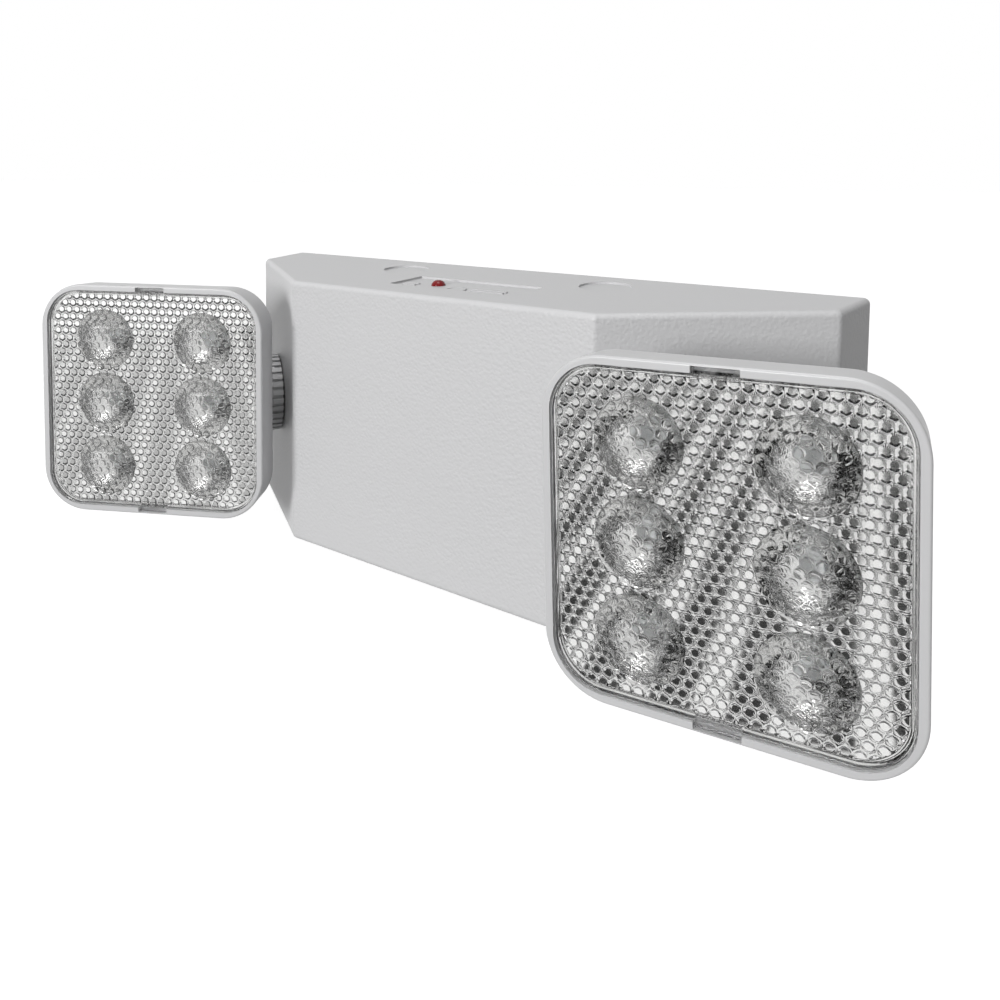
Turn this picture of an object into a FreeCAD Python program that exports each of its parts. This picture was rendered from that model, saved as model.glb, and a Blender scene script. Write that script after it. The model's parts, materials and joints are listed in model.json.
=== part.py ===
import FreeCAD, Part
import math
import os
import Sketcher

# Dual head emergency light, hung on a wall.
# The wall face of the back plate is the plane y = 0, the room is towards -Y, +Z is up and
# the origin is at the middle of the wall face. Every size is in millimetres.

V = FreeCAD.Vector
doc = FreeCAD.newDocument("emergency_light")

# How many there are of the pieces that repeat.
CELLS = 4
CAPACITORS = 3
FINS = 6
TERMINALS = 3
SOCKETS = 4
BOWL_COLUMNS = 2
BOWL_ROWS = 3
NECK_GROOVES = 3
GRIP_GROOVES = 30
BAR_ROWS = 2

# Driving sizes: name, value, what it is.
SIZES = [
    ("body_height", 120.0, "height of the case at the wall"),
    ("back_width", 289.0, "width of the case at the wall"),
    ("side_width", 281.0, "width of the case where its short sides end"),
    ("face_width", 144.0, "width of the flat front face"),
    ("body_depth", 71.5, "wall to front face"),
    ("side_depth", 27.5, "wall to the front edge of the short sides"),
    ("height_draft", 3.6, "fall of the top, and rise of the bottom, by the front face"),
    ("case_wall", 2.4, "wall of the case"),
    ("case_corner", 3.0, "radius of the upright front edges of the case"),
    ("case_rim", 2.2, "radius of the top and bottom edges of the case"),
    ("label_width", 61.5, "width of the sunk panel in the top"),
    ("label_length", 21.0, "front to back of the sunk panel"),
    ("label_front_gap", 15.5, "front face to the front edge of the sunk panel"),
    ("label_sink", 0.9, "depth of the sunk panel"),
    ("knockout_span", 102.0, "distance between the two knockout discs"),
    ("knockout_depth", 21.0, "wall to the middle of the knockout discs"),
    ("knockout_radius", 10.5, "radius of a knockout disc"),
    ("knockout_sink", 0.8, "how far a knockout disc lies below the top"),
    ("left_bar_x", -24.5, "raised bars left of the indicator, across from the middle"),
    ("left_bar_length", 7.0, "length of those bars"),
    ("right_bar_x", 14.5, "raised bars right of the indicator, across from the middle"),
    ("right_bar_length", 16.0, "length of those bars"),
    ("bar_front_gap", 23.0, "front face to the first row of raised bars"),
    ("bar_width", 1.1, "width of a raised bar"),
    ("bar_height", 0.5, "height of a raised bar"),
    ("bar_pitch", 2.6, "distance between raised bars"),
    ("plate_thickness", 3.0, "back plate"),
    ("plate_clearance", 0.4, "gap between back plate and case"),
    ("rim_height", 9.0, "stiffening rim of the back plate, from the wall"),
    ("rim_wall", 1.8, "thickness of that rim"),
    ("entry_radius", 11.2, "radius of the supply entry"),
    ("wall_screw_in_x", 9.4, "wall screws in from the plate's sides"),
    ("wall_screw_in_z", 10.7, "wall screws in from the plate's top and bottom"),
    ("wall_screw_radius", 2.4, "radius of the wall screw holes"),
    ("box_slot_span", 83.3, "wall box slots, centre to centre"),
    ("box_slot_length", 12.0, "end to end length of a wall box slot"),
    ("box_slot_radius", 2.2, "half the width of a wall box slot"),
    ("hook_width", 14.0, "width of a snap hook"),
    ("hook_thickness", 2.0, "thickness of a snap hook"),
    ("hook_span", 190.0, "snap hooks, centre to centre across"),
    ("hook_barb", 1.2, "how far the barb of a snap hook reaches past its ledge"),
    ("ledge_depth", 14.0, "wall to the back of the ledges in the case"),
    ("ledge_thickness", 2.0, "thickness of a ledge"),
    ("ledge_reach", 2.6, "how far a ledge stands in from the case"),
    ("snap_gap", 0.3, "gap between a snap hook and its ledge"),
    ("post_radius", 3.8, "radius of the screw posts on the back plate"),
    ("post_height", 8.0, "height of those posts above the plate"),
    ("screw_shank", 1.5, "radius of the small screws"),
    ("screw_head", 2.9, "radius of their heads"),
    ("screw_head_height", 2.2, "height of their heads"),
    ("screw_length", 7.0, "length of their shanks"),
    ("screw_gap", 0.03, "gap round a screw in its hole"),
    ("swivel_offset", -4.0, "swivel axis outwards from the middle of the slanted face"),
    ("pivot_reach", 44.0, "slanted face to the tilt pivot"),
    ("pivot_setback", 24.0, "front of the lamp head to the tilt pivot"),
    ("swivel_height", 0.0, "swivel axes above the middle of the case"),
    ("head_rise", 5.8, "middle of a lamp head above its pivot ears' middle"),
    ("right_swivel", -1.9, "right knuckle's turn in the case, degrees"),
    ("left_swivel", 0.5, "left knuckle's turn in the case, degrees"),
    ("right_turn", 4.7, "direction of the right lamp head from straight ahead, degrees"),
    ("left_turn", 26.9, "direction of the left lamp head from straight ahead, degrees"),
    ("stem_radius", 8.0, "radius of the swivel stem"),
    ("stem_bore", 4.5, "radius of the wire way in the stem"),
    ("stem_length", 13.0, "slanted face to the inner end of the stem"),
    ("stem_gap", 0.08, "running gap round the stem"),
    ("flange_radius", 17.5, "radius of the knuckle's flange"),
    ("flange_height", 6.0, "height of the knuckle's flange"),
    ("grip_width", 1.5, "width of a grip groove in the flange's rim"),
    ("grip_depth", 1.0, "depth of a grip groove in the flange's rim"),
    ("washer_radius", 16.5, "radius of the friction washer"),
    ("washer_height", 0.8, "thickness of the friction washer"),
    ("neck_base_width", 22.0, "width of the knuckle's neck at the flange"),
    ("neck_base_height", 29.0, "height of the knuckle's neck at the flange"),
    ("neck_tip_width", 13.0, "width of the knuckle's neck at the barrel"),
    ("neck_tip_height", 21.0, "height of the knuckle's neck at the barrel"),
    ("neck_corner", 3.0, "corner radius of the knuckle's neck"),
    ("neck_tip_reach", 34.0, "slanted face to the narrow end of the neck"),
    ("barrel_radius", 7.0, "radius of the knuckle's barrel"),
    ("barrel_height", 22.0, "height of the knuckle's barrel"),
    ("rib_width", 2.0, "width of a groove in the neck"),
    ("rib_depth", 1.2, "depth of a groove in the neck"),
    ("rib_pitch", 4.6, "distance between the grooves in the neck"),
    ("rib_start", 8.4, "slanted face to the first groove in the neck"),
    ("window_height", 8.0, "height of the wire window in the neck"),
    ("window_length", 7.0, "length of the wire window in the neck"),
    ("window_reach", 24.0, "slanted face to the middle of the wire window"),
    ("nut_radius", 14.0, "radius of the retaining nut inside the case"),
    ("nut_height", 5.0, "thickness of the retaining nut"),
    ("spring_radius", 12.5, "radius of the spring washer inside the case"),
    ("spring_height", 1.0, "thickness of the spring washer"),
    ("head_size", 97.8, "side of the square lamp head"),
    ("head_depth", 16.0, "front to back of the lamp head"),
    ("head_corner", 18.5, "corner radius of the lamp head"),
    ("head_wall", 2.0, "wall of the lamp head"),
    ("head_taper", 3.5, "draft of the lamp head's sides, degrees"),
    ("head_back_round", 4.0, "radius of the back edge of the lamp head"),
    ("head_front_round", 0.8, "radius of the front edge of the lamp head"),
    ("lens_size", 92.0, "side of the square lens"),
    ("lens_corner", 14.0, "corner radius of the lens"),
    ("lens_gap", 0.3, "gap round the lens"),
    ("lens_sink", 0.5, "front of the lens below the front of the lamp head"),
    ("lens_thickness", 3.0, "thickness of the lens"),
    ("lens_shelf", 1.2, "width of the shelf that the lens rests on"),
    ("tab_width", 12.0, "width of a lens tab"),
    ("tab_reach", 1.9, "how far a lens tab reaches past the lens"),
    ("bowl_pitch_x", 43.0, "reflector bowls, centre to centre across"),
    ("bowl_pitch_z", 27.2, "reflector bowls, centre to centre upright"),
    ("bowl_drop", 1.9, "middle of the reflector bowls below the middle of the lamp head"),
    ("bowl_radius", 13.0, "radius of a bowl's mouth"),
    ("bowl_throat", 3.4, "radius of the hole at the bottom of a bowl"),
    ("bowl_bulge", 2.2, "how far a bowl's wall bows out from a straight cone"),
    ("bowl_wall", 0.8, "wall of a bowl"),
    ("reflector_plate", 1.2, "thickness of the reflector's front plate"),
    ("reflector_gap", 0.8, "gap round the reflector"),
    ("led_board_thickness", 1.6, "thickness of the light board"),
    ("led_board_size", 82.0, "side of the light board"),
    ("led_side", 4.0, "side of a light's square base"),
    ("led_base", 0.8, "height of a light's square base"),
    ("led_dome", 1.6, "radius of a light's clear dome"),
    ("ear_inside", 11.4, "mid-height to the inner face of a pivot ear"),
    ("ear_thickness", 4.0, "thickness of a pivot ear"),
    ("ear_radius", 7.0, "radius of a pivot ear round the pin"),
    ("ear_base_width", 22.0, "width of a pivot ear at the lamp head"),
    ("pin_radius", 2.0, "radius of the tilt pin"),
    ("pin_gap", 0.05, "running gap round the tilt pin"),
    ("pin_head_radius", 4.0, "radius of the tilt pin's head"),
    ("pin_head_height", 2.6, "height of the tilt pin's head"),
    ("pin_nut_across", 7.0, "tilt pin nut, across its flats"),
    ("pin_nut_height", 3.2, "height of the tilt pin nut"),
    ("cable_hole", 3.0, "radius of the cable hole in the lamp head's back"),
    ("cable_hole_x", 17.0, "cable hole across from the middle of the lamp head"),
    ("head_screw_length", 6.0, "length of the light board screws"),
    ("head_screw_span", 60.0, "light board screws, centre to centre"),
    ("head_post_radius", 4.0, "radius of the screw bosses on the lamp head's back"),
    ("head_post_height", 4.0, "height of those bosses"),
    ("dome_radius", 3.0, "radius of the charge indicator"),
    ("dome_rise", 1.3, "top of the charge indicator above the case's top"),
    ("dome_crown", 2.6, "radius of the charge indicator's round edge"),
    ("stalk_radius", 2.5, "radius of the light under the charge indicator"),
    ("dome_gap", 0.15, "gap round the charge indicator"),
    ("dome_flange_radius", 4.2, "radius of the indicator's flange"),
    ("dome_flange_height", 1.0, "height of the indicator's flange"),
    ("dome_x", -12.8, "indicator, across from the middle"),
    ("dome_front_gap", 25.3, "front face to the indicator"),
    ("button_x", 0.4, "test button, across from the middle"),
    ("button_front_gap", 20.5, "front face to the test button"),
    ("button_radius", 3.6, "radius of the test button"),
    ("button_gap", 0.3, "gap round the test button"),
    ("button_sink", 0.7, "top of the test button below the case's top"),
    ("button_travel", 1.0, "travel of the test button"),
    ("button_flange_radius", 5.0, "radius of the test button's flange"),
    ("button_flange_height", 1.0, "height of the test button's flange"),
    ("button_well_radius", 4.9, "radius of the well round the test button"),
    ("button_well_sink", 1.1, "depth of that well"),
    ("switch_side", 11.0, "side of the test switch"),
    ("switch_height", 4.4, "height of the test switch"),
    ("plunger_radius", 1.7, "radius of the switch plunger"),
    ("plunger_rise", 1.6, "plunger above the switch"),
    ("plunger_grip", 1.0, "plunger inside the switch"),
    ("switch_board_width", 50.0, "width of the switch board"),
    ("switch_board_length", 26.0, "front to back of the switch board"),
    ("switch_board_drop", 11.0, "case top to the switch board"),
    ("switch_board_front_gap", 6.1, "inside of the front face to the switch board"),
    ("switch_post_span", 43.0, "switch board posts, centre to centre"),
    ("board_thickness", 1.6, "thickness of the circuit boards"),
    ("board_width", 100.0, "width of the charger board"),
    ("board_rim_gap", 9.0, "charger board to the plate's rim at top and bottom"),
    ("board_side_gap", 14.6, "charger board to the plate's rim at the right"),
    ("board_margin", 5.0, "charger board's holes in from its edges"),
    ("relay_x", -22.0, "transfer relay, across from the board's middle"),
    ("relay_top_gap", 11.2, "transfer relay to the board's top edge"),
    ("relay_width", 19.0, "width of the transfer relay"),
    ("relay_height", 15.5, "height of the transfer relay"),
    ("relay_depth", 15.0, "depth of the transfer relay"),
    ("can_x", 4.0, "first capacitor, across from the board's middle"),
    ("can_top_gap", 8.6, "capacitors to the board's top edge"),
    ("can_radius", 6.3, "radius of a capacitor"),
    ("can_height", 21.0, "height of a capacitor"),
    ("can_pitch", 15.0, "distance between capacitors"),
    ("sink_x", 18.0, "heat sink, across from the board's middle"),
    ("sink_low_gap", 5.0, "heat sink to the board's bottom edge"),
    ("sink_width", 32.0, "width of the heat sink"),
    ("sink_height", 20.0, "height of the heat sink"),
    ("sink_depth", 14.0, "depth of the heat sink"),
    ("sink_floor", 2.4, "floor of the heat sink"),
    ("fin_wall", 1.6, "thickness of a heat sink fin"),
    ("fin_gap", 3.4, "gap between two heat sink fins"),
    ("block_x", -40.0, "supply terminal block, across from the board's middle"),
    ("block_low_gap", 13.0, "supply terminal block to the board's bottom edge"),
    ("block_width", 12.0, "width of the supply terminal block"),
    ("block_height", 30.0, "height of the supply terminal block"),
    ("block_depth", 13.0, "depth of the supply terminal block"),
    ("terminal_pitch", 9.5, "distance between terminals"),
    ("terminal_radius", 2.4, "radius of a terminal's screw hole"),
    ("terminal_sink", 6.0, "depth of a terminal's screw hole"),
    ("socket_x", -24.0, "first lead socket, across from the board's middle"),
    ("socket_z", -4.0, "lead sockets, up from the middle"),
    ("socket_width", 10.0, "width of a lead socket"),
    ("socket_height", 7.0, "height of a lead socket"),
    ("socket_depth", 6.0, "depth of a lead socket"),
    ("socket_pitch", 13.0, "distance between lead sockets"),
    ("plug_depth", 7.0, "depth of a lead plug"),
    ("plug_margin", 0.8, "a lead plug's side inside its socket's side"),
    ("cell_radius", 11.2, "radius of a battery cell"),
    ("cell_length", 43.0, "length of a battery cell"),
    ("cell_sink", 1.2, "groove between two cells under the wrap"),
    ("pack_side_gap", 2.2, "strap's foot to the plate's rim at the left"),
    ("pack_low_gap", 1.6, "battery cradle to the plate's rim at the bottom"),
    ("pack_gap", 0.3, "gap between the battery pack and what holds it"),
    ("cradle_height", 10.0, "height of the battery cradle above the plate"),
    ("cradle_wall", 2.0, "wall of the battery cradle"),
    ("strap_width", 14.0, "width of the battery strap"),
    ("strap_thickness", 2.0, "thickness of the battery strap"),
    ("strap_foot", 10.0, "length of a foot of the battery strap"),
    ("core_side_gap", 39.6, "transformer bracket's foot to the plate's rim at the left"),
    ("core_top_gap", 8.0, "winding to the plate's rim at the top"),
    ("core_width", 38.0, "width of the transformer core"),
    ("core_depth", 31.0, "front to back of the transformer core"),
    ("core_stack", 16.0, "height of the stack of core sheets"),
    ("core_leg", 6.3, "width of an outer leg and of a yoke of the core"),
    ("core_middle", 12.6, "width of the middle leg of the core"),
    ("coil_bulge", 6.0, "how far the winding stands out of the core"),
    ("coil_gap", 0.2, "gap between winding and core"),
    ("bracket_sheet", 1.0, "sheet of the transformer bracket"),
    ("bracket_foot", 9.0, "length of a foot of the transformer bracket"),
    ("lead_radius", 1.3, "radius of the leads inside the case"),
    ("lead_reach", 22.0, "slanted face to the outer end of a lamp lead"),
    ("lead_out", 12.0, "straight run of a lead out of its plug"),
    ("switch_lead_x", 13.0, "switch lead on its board, across from the middle"),
    ("board_lead_z", 13.0, "transformer lead on its board, up from the middle"),
]

# Sizes worked out from the driving ones: name, formula, what it is.
WORKED = [
    ("slant", "atan((dim.body_depth - dim.side_depth) * 2 / (dim.side_width - dim.face_width))",
     "angle of the slanted faces from the wall"),
    ("slope", "atan(dim.height_draft / dim.body_depth)", "fall of the top"),
    ("half", "dim.body_height / 2", "half the case's height"),
    ("side_slope", "atan((dim.back_width - dim.side_width) / 2 / dim.side_depth)",
     "draft of the short sides"),
    ("inner_back_x", "dim.back_width / 2 - dim.case_wall / cos(side_slope)",
     "inside of the case at the wall, across"),
    ("inner_side_depth", "(dim.body_depth - dim.case_wall / cos(slant) + (dim.face_width / 2 - inner_back_x)"
     " * tan(slant)) / (1 - tan(slant) * tan(side_slope))", "inner corner of short side and slanted face"),
    ("inner_side_x", "inner_back_x - inner_side_depth * tan(side_slope)", "the same corner, across"),
    ("inner_face_x", "dim.face_width / 2 - dim.case_wall * (1 / cos(slant) - 1) / tan(slant)",
     "inner corner of front and slanted face, across"),
    ("foot_x", "(dim.side_width + dim.face_width) / 4 + dim.swivel_offset * cos(slant)",
     "swivel axis on the slanted face, across"),
    ("foot_depth", "(dim.side_depth + dim.body_depth) / 2 - dim.swivel_offset * sin(slant)",
     "swivel axis on the slanted face, from the wall"),
    ("plate_half_width", "dim.back_width / 2 - dim.case_wall - dim.plate_clearance"
     " - dim.rim_height * (dim.back_width - dim.side_width) / 2 / dim.side_depth",
     "half the back plate's width"),
    ("plate_half_height", "dim.body_height / 2 - dim.case_wall - dim.plate_clearance"
     " - dim.rim_height * dim.height_draft / dim.body_depth", "half the back plate's height"),
    ("rim_x", "plate_half_width - dim.rim_wall", "inside of the plate's rim, across"),
    ("rim_z", "plate_half_height - dim.rim_wall", "inside of the plate's rim, up"),
    ("wall_screw_x", "plate_half_width - dim.wall_screw_in_x", "wall screws, across"),
    ("wall_screw_z", "plate_half_height - dim.wall_screw_in_z", "wall screws, up"),
    ("label_depth", "dim.body_depth - dim.label_front_gap - dim.label_length / 2",
     "wall to the middle of the sunk panel"),
    ("dome_depth", "dim.body_depth - dim.dome_front_gap", "wall to the charge indicator"),
    ("button_depth", "dim.body_depth - dim.button_front_gap", "wall to the test button"),
    ("switch_board_depth", "dim.body_depth - dim.case_wall - dim.switch_board_front_gap"
     " - dim.switch_board_length / 2", "wall to the middle of the switch board"),
    ("board_half_height", "rim_z - dim.board_rim_gap", "half the charger board's height"),
    ("board_x", "rim_x - dim.board_side_gap - dim.board_width / 2", "middle of the charger board, across"),
    ("relay_z", "board_half_height - dim.relay_top_gap - dim.relay_height / 2", "transfer relay, up"),
    ("can_z", "board_half_height - dim.can_top_gap - dim.can_radius", "capacitors, up"),
    ("sink_z", "dim.sink_low_gap + dim.sink_height / 2 - board_half_height", "heat sink, up"),
    ("block_z", "dim.block_low_gap + dim.block_height / 2 - board_half_height", "terminal block, up"),
    ("board_face", "dim.plate_thickness + dim.post_height", "wall to the back of the charger board"),
    ("board_front", "board_face + dim.board_thickness", "wall to the front of the charger board"),
    ("pack_half", "dim.cell_radius * %d" % CELLS, "half the battery pack's width"),
    ("pack_depth", "dim.plate_thickness + dim.pack_gap + dim.cell_radius",
     "wall to the middle of the cells"),
    ("strap_back", "pack_depth + dim.cell_radius + dim.pack_gap", "wall to the back of the strap"),
    ("cavity", "dim.head_depth - dim.head_wall", "front of a lamp head to its inner back wall"),
    ("led_board_front", "cavity - dim.led_board_thickness", "front of a lamp head to its light board"),
    ("shelf", "dim.lens_sink + dim.lens_thickness", "front of a lamp head to the back of its lens"),
    ("strap_half", "pack_half + 2 * dim.pack_gap + dim.cradle_wall", "half the strap's inside width"),
    ("pack_x", "dim.pack_side_gap + dim.strap_foot + dim.strap_thickness + strap_half - rim_x",
     "battery pack, across"),
    ("pack_z", "dim.pack_low_gap + dim.cradle_wall + dim.pack_gap + dim.cell_length / 2 - rim_z",
     "battery pack, up"),
    ("core_x", "dim.core_side_gap + dim.bracket_foot + dim.bracket_sheet + dim.core_width / 2 - rim_x",
     "transformer, across"),
    ("core_z", "rim_z - dim.core_top_gap - dim.coil_bulge - dim.core_stack / 2", "transformer, up"),
    ("plug_front", "board_front + dim.socket_depth + dim.plug_depth", "wall to the front of a lead plug"),
]

dim = doc.addObject("Spreadsheet::Sheet", "dim")
for row, (name, value, meaning) in enumerate(SIZES, start=1):
    dim.set("A%d" % row, meaning)
    dim.set("B%d" % row, str(value))
    dim.setAlias("B%d" % row, name)
doc.recompute()
calc = doc.addObject("Spreadsheet::Sheet", "calc")
for row, (name, formula, meaning) in enumerate(WORKED, start=1):
    calc.set("A%d" % row, meaning)
    calc.set("B%d" % row, "=" + formula)
    calc.setAlias("B%d" % row, name)
doc.recompute()


def size(name):
    """The present value of one named size, as a plain number."""
    sheet = dim if name in [row[0] for row in SIZES] else calc
    value = sheet.get(name)
    return float(getattr(value, "Value", value))


# Helpers: sketches, features and placements whose sizes follow the two sheets.

def plane(body, role):
    """The origin plane of a body, by its role."""
    return [item for item in body.Origin.OriginFeatures if item.Role == role][0]


def bind(target, formulas):
    """Tie properties to formulas."""
    for name, formula in formulas.items():
        target.setExpression(name, formula)


def place(target, x="0", y="0", z="0", turn=None, axis=V(0, 0, 1), prop="Placement", frame=None):
    """Move, and turn about one axis, by formulas, or follow one formula for the whole frame."""
    if frame is not None:
        target.setExpression(prop, frame)
        return target
    if turn is not None:
        setattr(target, prop, FreeCAD.Placement(V(), FreeCAD.Rotation(axis, 1.0)))
        target.setExpression(prop + ".Rotation.Angle", turn)
    bind(target, {prop + ".Base.x": x, prop + ".Base.y": y, prop + ".Base.z": z})
    return target


def new_body(label, **where):
    """An empty body that carries one piece."""
    body = doc.addObject("PartDesign::Body", label)
    body.Label = label
    if where:
        place(body, **where)
    return body


def sketch_on(body, role, **where):
    """A sketch on one of the body's own origin planes, moved by formulas."""
    sketch = body.newObject("Sketcher::SketchObject", body.Label + "_sketch")
    sketch.AttachmentSupport = [(plane(body, role), "")]
    sketch.MapMode = "FlatFace"
    if where:
        place(sketch, prop="AttachmentOffset", **where)
    return sketch


def number(formula):
    """The present value of a formula over the two sheets."""
    value = dim.evalExpression(formula)
    return float(getattr(value, "Value", value))


def pin_along(sketch, kind, edge, end, formula):
    """Hold one coordinate of a point of a sketch at a formula."""
    rule = Sketcher.Constraint(kind, -1, 1, edge, end, number(formula))
    index = sketch.addConstraint(rule)
    sketch.setExpression("Constraints[%d]" % index, formula)


def pin_point(sketch, edge, end, x, y):
    """Hold one point of a sketch at two formulas."""
    pin_along(sketch, "DistanceX", edge, end, x)
    pin_along(sketch, "DistanceY", edge, end, y)


def hold_size(sketch, kind, edge, formula):
    """Hold a radius at a formula."""
    index = sketch.addConstraint(Sketcher.Constraint(kind, edge, number(formula)))
    sketch.setExpression("Constraints[%d]" % index, formula)


def outline(sketch, corners):
    """A closed outline of straight lines, each corner two formulas."""
    first = sketch.GeometryCount
    count = len(corners)
    spots = [V(number(x), number(y), 0) for x, y in corners]
    for i in range(count):
        sketch.addGeometry(Part.LineSegment(spots[i], spots[(i + 1) % count]), False)
    for i in range(count):
        sketch.addConstraint(Sketcher.Constraint("Coincident", first + i, 2, first + (i + 1) % count, 1))
    for i, (x, y) in enumerate(corners):
        pin_point(sketch, first + i, 1, x, y)
    return sketch


def rect(sketch, width, height, x="0", y="0"):
    """A rectangle about a centre."""
    signs = ((-1, -1), (1, -1), (1, 1), (-1, 1))
    corners = [("%s + (%d) * (%s) / 2" % (x, sx, width), "%s + (%d) * (%s) / 2" % (y, sy, height))
               for sx, sy in signs]
    return outline(sketch, corners)


def ring(sketch, radius, x="0", y="0"):
    """A circle about a centre."""
    circle = Part.Circle(V(number(x), number(y), 0), V(0, 0, 1), number(radius))
    index = sketch.addGeometry(circle, False)
    pin_point(sketch, index, 3, x, y)
    hold_size(sketch, "Radius", index, radius)
    return sketch


def slot(sketch, length, radius, x="0", y="0"):
    """A hole with half-round ends, longer across than up, about a centre."""
    first = sketch.GeometryCount
    reach = "((%s) / 2 - (%s))" % (length, radius)
    ends = [("%s + (%d) * %s" % (x, side, reach), "%s + (%d) * (%s)" % (y, up, radius))
            for side, up in ((-1, -1), (1, -1), (1, 1), (-1, 1))]
    spots = [V(number(wx), number(wy), 0) for wx, wy in ends]
    sketch.addGeometry(Part.LineSegment(spots[0], spots[1]), False)
    sketch.addGeometry(Part.LineSegment(spots[2], spots[3]), False)
    for side, start in ((1, -math.pi / 2), (-1, math.pi / 2)):
        centre = V(number(x) + side * number(reach), number(y), 0)
        circle = Part.Circle(centre, V(0, 0, 1), number(radius))
        sketch.addGeometry(Part.ArcOfCircle(circle, start, start + math.pi), False)
    for line, end, spot in ((0, 1, 0), (0, 2, 1), (1, 1, 2), (1, 2, 3)):
        pin_point(sketch, first + line, end, *ends[spot])
    for arc, before, after, side in ((2, 0, 1, 1), (3, 1, 0, -1)):
        sketch.addConstraint(Sketcher.Constraint("Coincident", first + arc, 1, first + before, 2))
        sketch.addConstraint(Sketcher.Constraint("Coincident", first + arc, 2, first + after, 1))
        pin_along(sketch, "DistanceX", first + arc, 3, "%s + (%d) * %s" % (x, side, reach))
    return sketch


ROUND_RECT_LINES = (((-1, 1, -1, 0), (1, -1, -1, 0)), ((1, 0, -1, 1), (1, 0, 1, -1)),
                    ((1, -1, 1, 0), (-1, 1, 1, 0)), ((-1, 0, 1, -1), (-1, 0, -1, 1)))
ROUND_RECT_ARCS = ((1, -1, -90), (1, 1, 0), (-1, 1, 90), (-1, -1, 180))


def round_rect(sketch, width, height, corner, x="0", y="0"):
    """A rectangle with round corners about a centre."""
    first = sketch.GeometryCount
    words = []
    for line in ROUND_RECT_LINES:
        ends = [("%s + (%d) * (%s) / 2 + (%d) * (%s)" % (x, sx, width, rx, corner),
                 "%s + (%d) * (%s) / 2 + (%d) * (%s)" % (y, sy, height, ry, corner))
                for sx, rx, sy, ry in line]
        spots = [V(number(wx), number(wy), 0) for wx, wy in ends]
        sketch.addGeometry(Part.LineSegment(spots[0], spots[1]), False)
        words.append(ends)
    half_width, half_height, radius = number(width) / 2, number(height) / 2, number(corner)
    for sx, sy, degrees in ROUND_RECT_ARCS:
        centre = V(number(x) + sx * (half_width - radius), number(y) + sy * (half_height - radius), 0)
        angle = math.radians(degrees)
        circle = Part.Circle(centre, V(0, 0, 1), radius)
        sketch.addGeometry(Part.ArcOfCircle(circle, angle, angle + math.pi / 2), False)
    for i, ends in enumerate(words):
        pin_point(sketch, first + i, 1, *ends[0])
        pin_point(sketch, first + i, 2, *ends[1])
    for i in range(len(words)):
        arc = first + len(words) + i
        sketch.addConstraint(Sketcher.Constraint("Coincident", arc, 1, first + i, 2))
        sketch.addConstraint(Sketcher.Constraint("Coincident", arc, 2, first + (i + 1) % 4, 1))
        hold_size(sketch, "Radius", arc, corner)
    return sketch


def feature(body, kind, profile, label, settings, formulas):
    """One feature on a sketch."""
    item = body.newObject("PartDesign::" + kind, label)
    item.Profile = profile
    for name, value in settings.items():
        setattr(item, name, value)
    bind(item, formulas)
    body.Tip = item
    profile.Visibility = False
    return item


def pad(body, sketch, length, back=False, both=False, **more):
    """Add material along the sketch's normal, backwards, or half each way."""
    settings = {"Reversed": back, "SideType": "Symmetric" if both else "One side"}
    formulas = {"Length": length}
    formulas.update(more)
    return feature(body, "Pad", sketch, body.Label + "_pad", settings, formulas)


def pocket(body, sketch, length, back=False, both=False, **more):
    """Cut against the sketch's normal, along it when back is set, or half each way."""
    settings = {"Reversed": back, "SideType": "Symmetric" if both else "One side"}
    formulas = {"Length": length}
    formulas.update(more)
    doc.recompute()
    before = body.Shape.Volume
    item = feature(body, "Pocket", sketch, body.Label + "_pocket", settings, formulas)
    doc.recompute()
    if body.Shape.Volume > before - 1e-3:
        raise RuntimeError("a cut in %s takes nothing away" % body.Label)
    return item


def spun(body, sketch, axis, cut=False):
    """Turn a profile about one axis of its sketch."""
    kind = "Groove" if cut else "Revolution"
    item = body.newObject("PartDesign::" + kind, body.Label + "_turned")
    item.Profile = sketch
    item.ReferenceAxis = (sketch, [axis])
    item.Angle = 360.0
    body.Tip = item
    sketch.Visibility = False
    return item


def repeat_round(body, sketch, cut, count):
    """Repeat one cut evenly round its sketch's middle."""
    item = body.newObject("PartDesign::PolarPattern", body.Label + "_repeat")
    item.Originals = [cut]
    item.Axis = (sketch, ["N_Axis"])
    item.Angle = 360.0
    item.Occurrences = count
    body.Tip = item
    sketch.Visibility = False
    doc.recompute()
    return item


def soften(body, radius, wanted):
    """Round the edges that a test picks."""
    doc.recompute()
    last = body.Tip
    names = ["Edge%d" % i for i, edge in enumerate(last.Shape.Edges, start=1) if wanted(edge)]
    if not names:
        raise RuntimeError("no edge to round in %s" % body.Label)
    item = body.newObject("PartDesign::Fillet", body.Label + "_round")
    item.Base = (last, names)
    bind(item, {"Radius": radius})
    body.Tip = item
    doc.recompute()
    return item


def middle(edge):
    """The point halfway along an edge."""
    return edge.valueAt((edge.FirstParameter + edge.LastParameter) / 2)


def near(a, b, slack=0.05):
    """Whether two numbers are as good as equal."""
    return abs(a - b) < slack


def box(label, length, width, height, x="0", y="0", z="0", centred="xz"):
    """A block by its formulas; centred names the axes on which x, y and z are its middle."""
    item = doc.addObject("Part::Box", label)
    item.Label = label
    bind(item, {"Length": length, "Width": width, "Height": height})
    shift = {"x": length, "y": width, "z": height}
    spots = {"x": x, "y": y, "z": z}
    for name in centred:
        spots[name] = "%s - (%s) / 2" % (spots[name], shift[name])
    bind(item, {"Placement.Base." + name: spots[name] for name in "xyz"})
    return item


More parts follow.
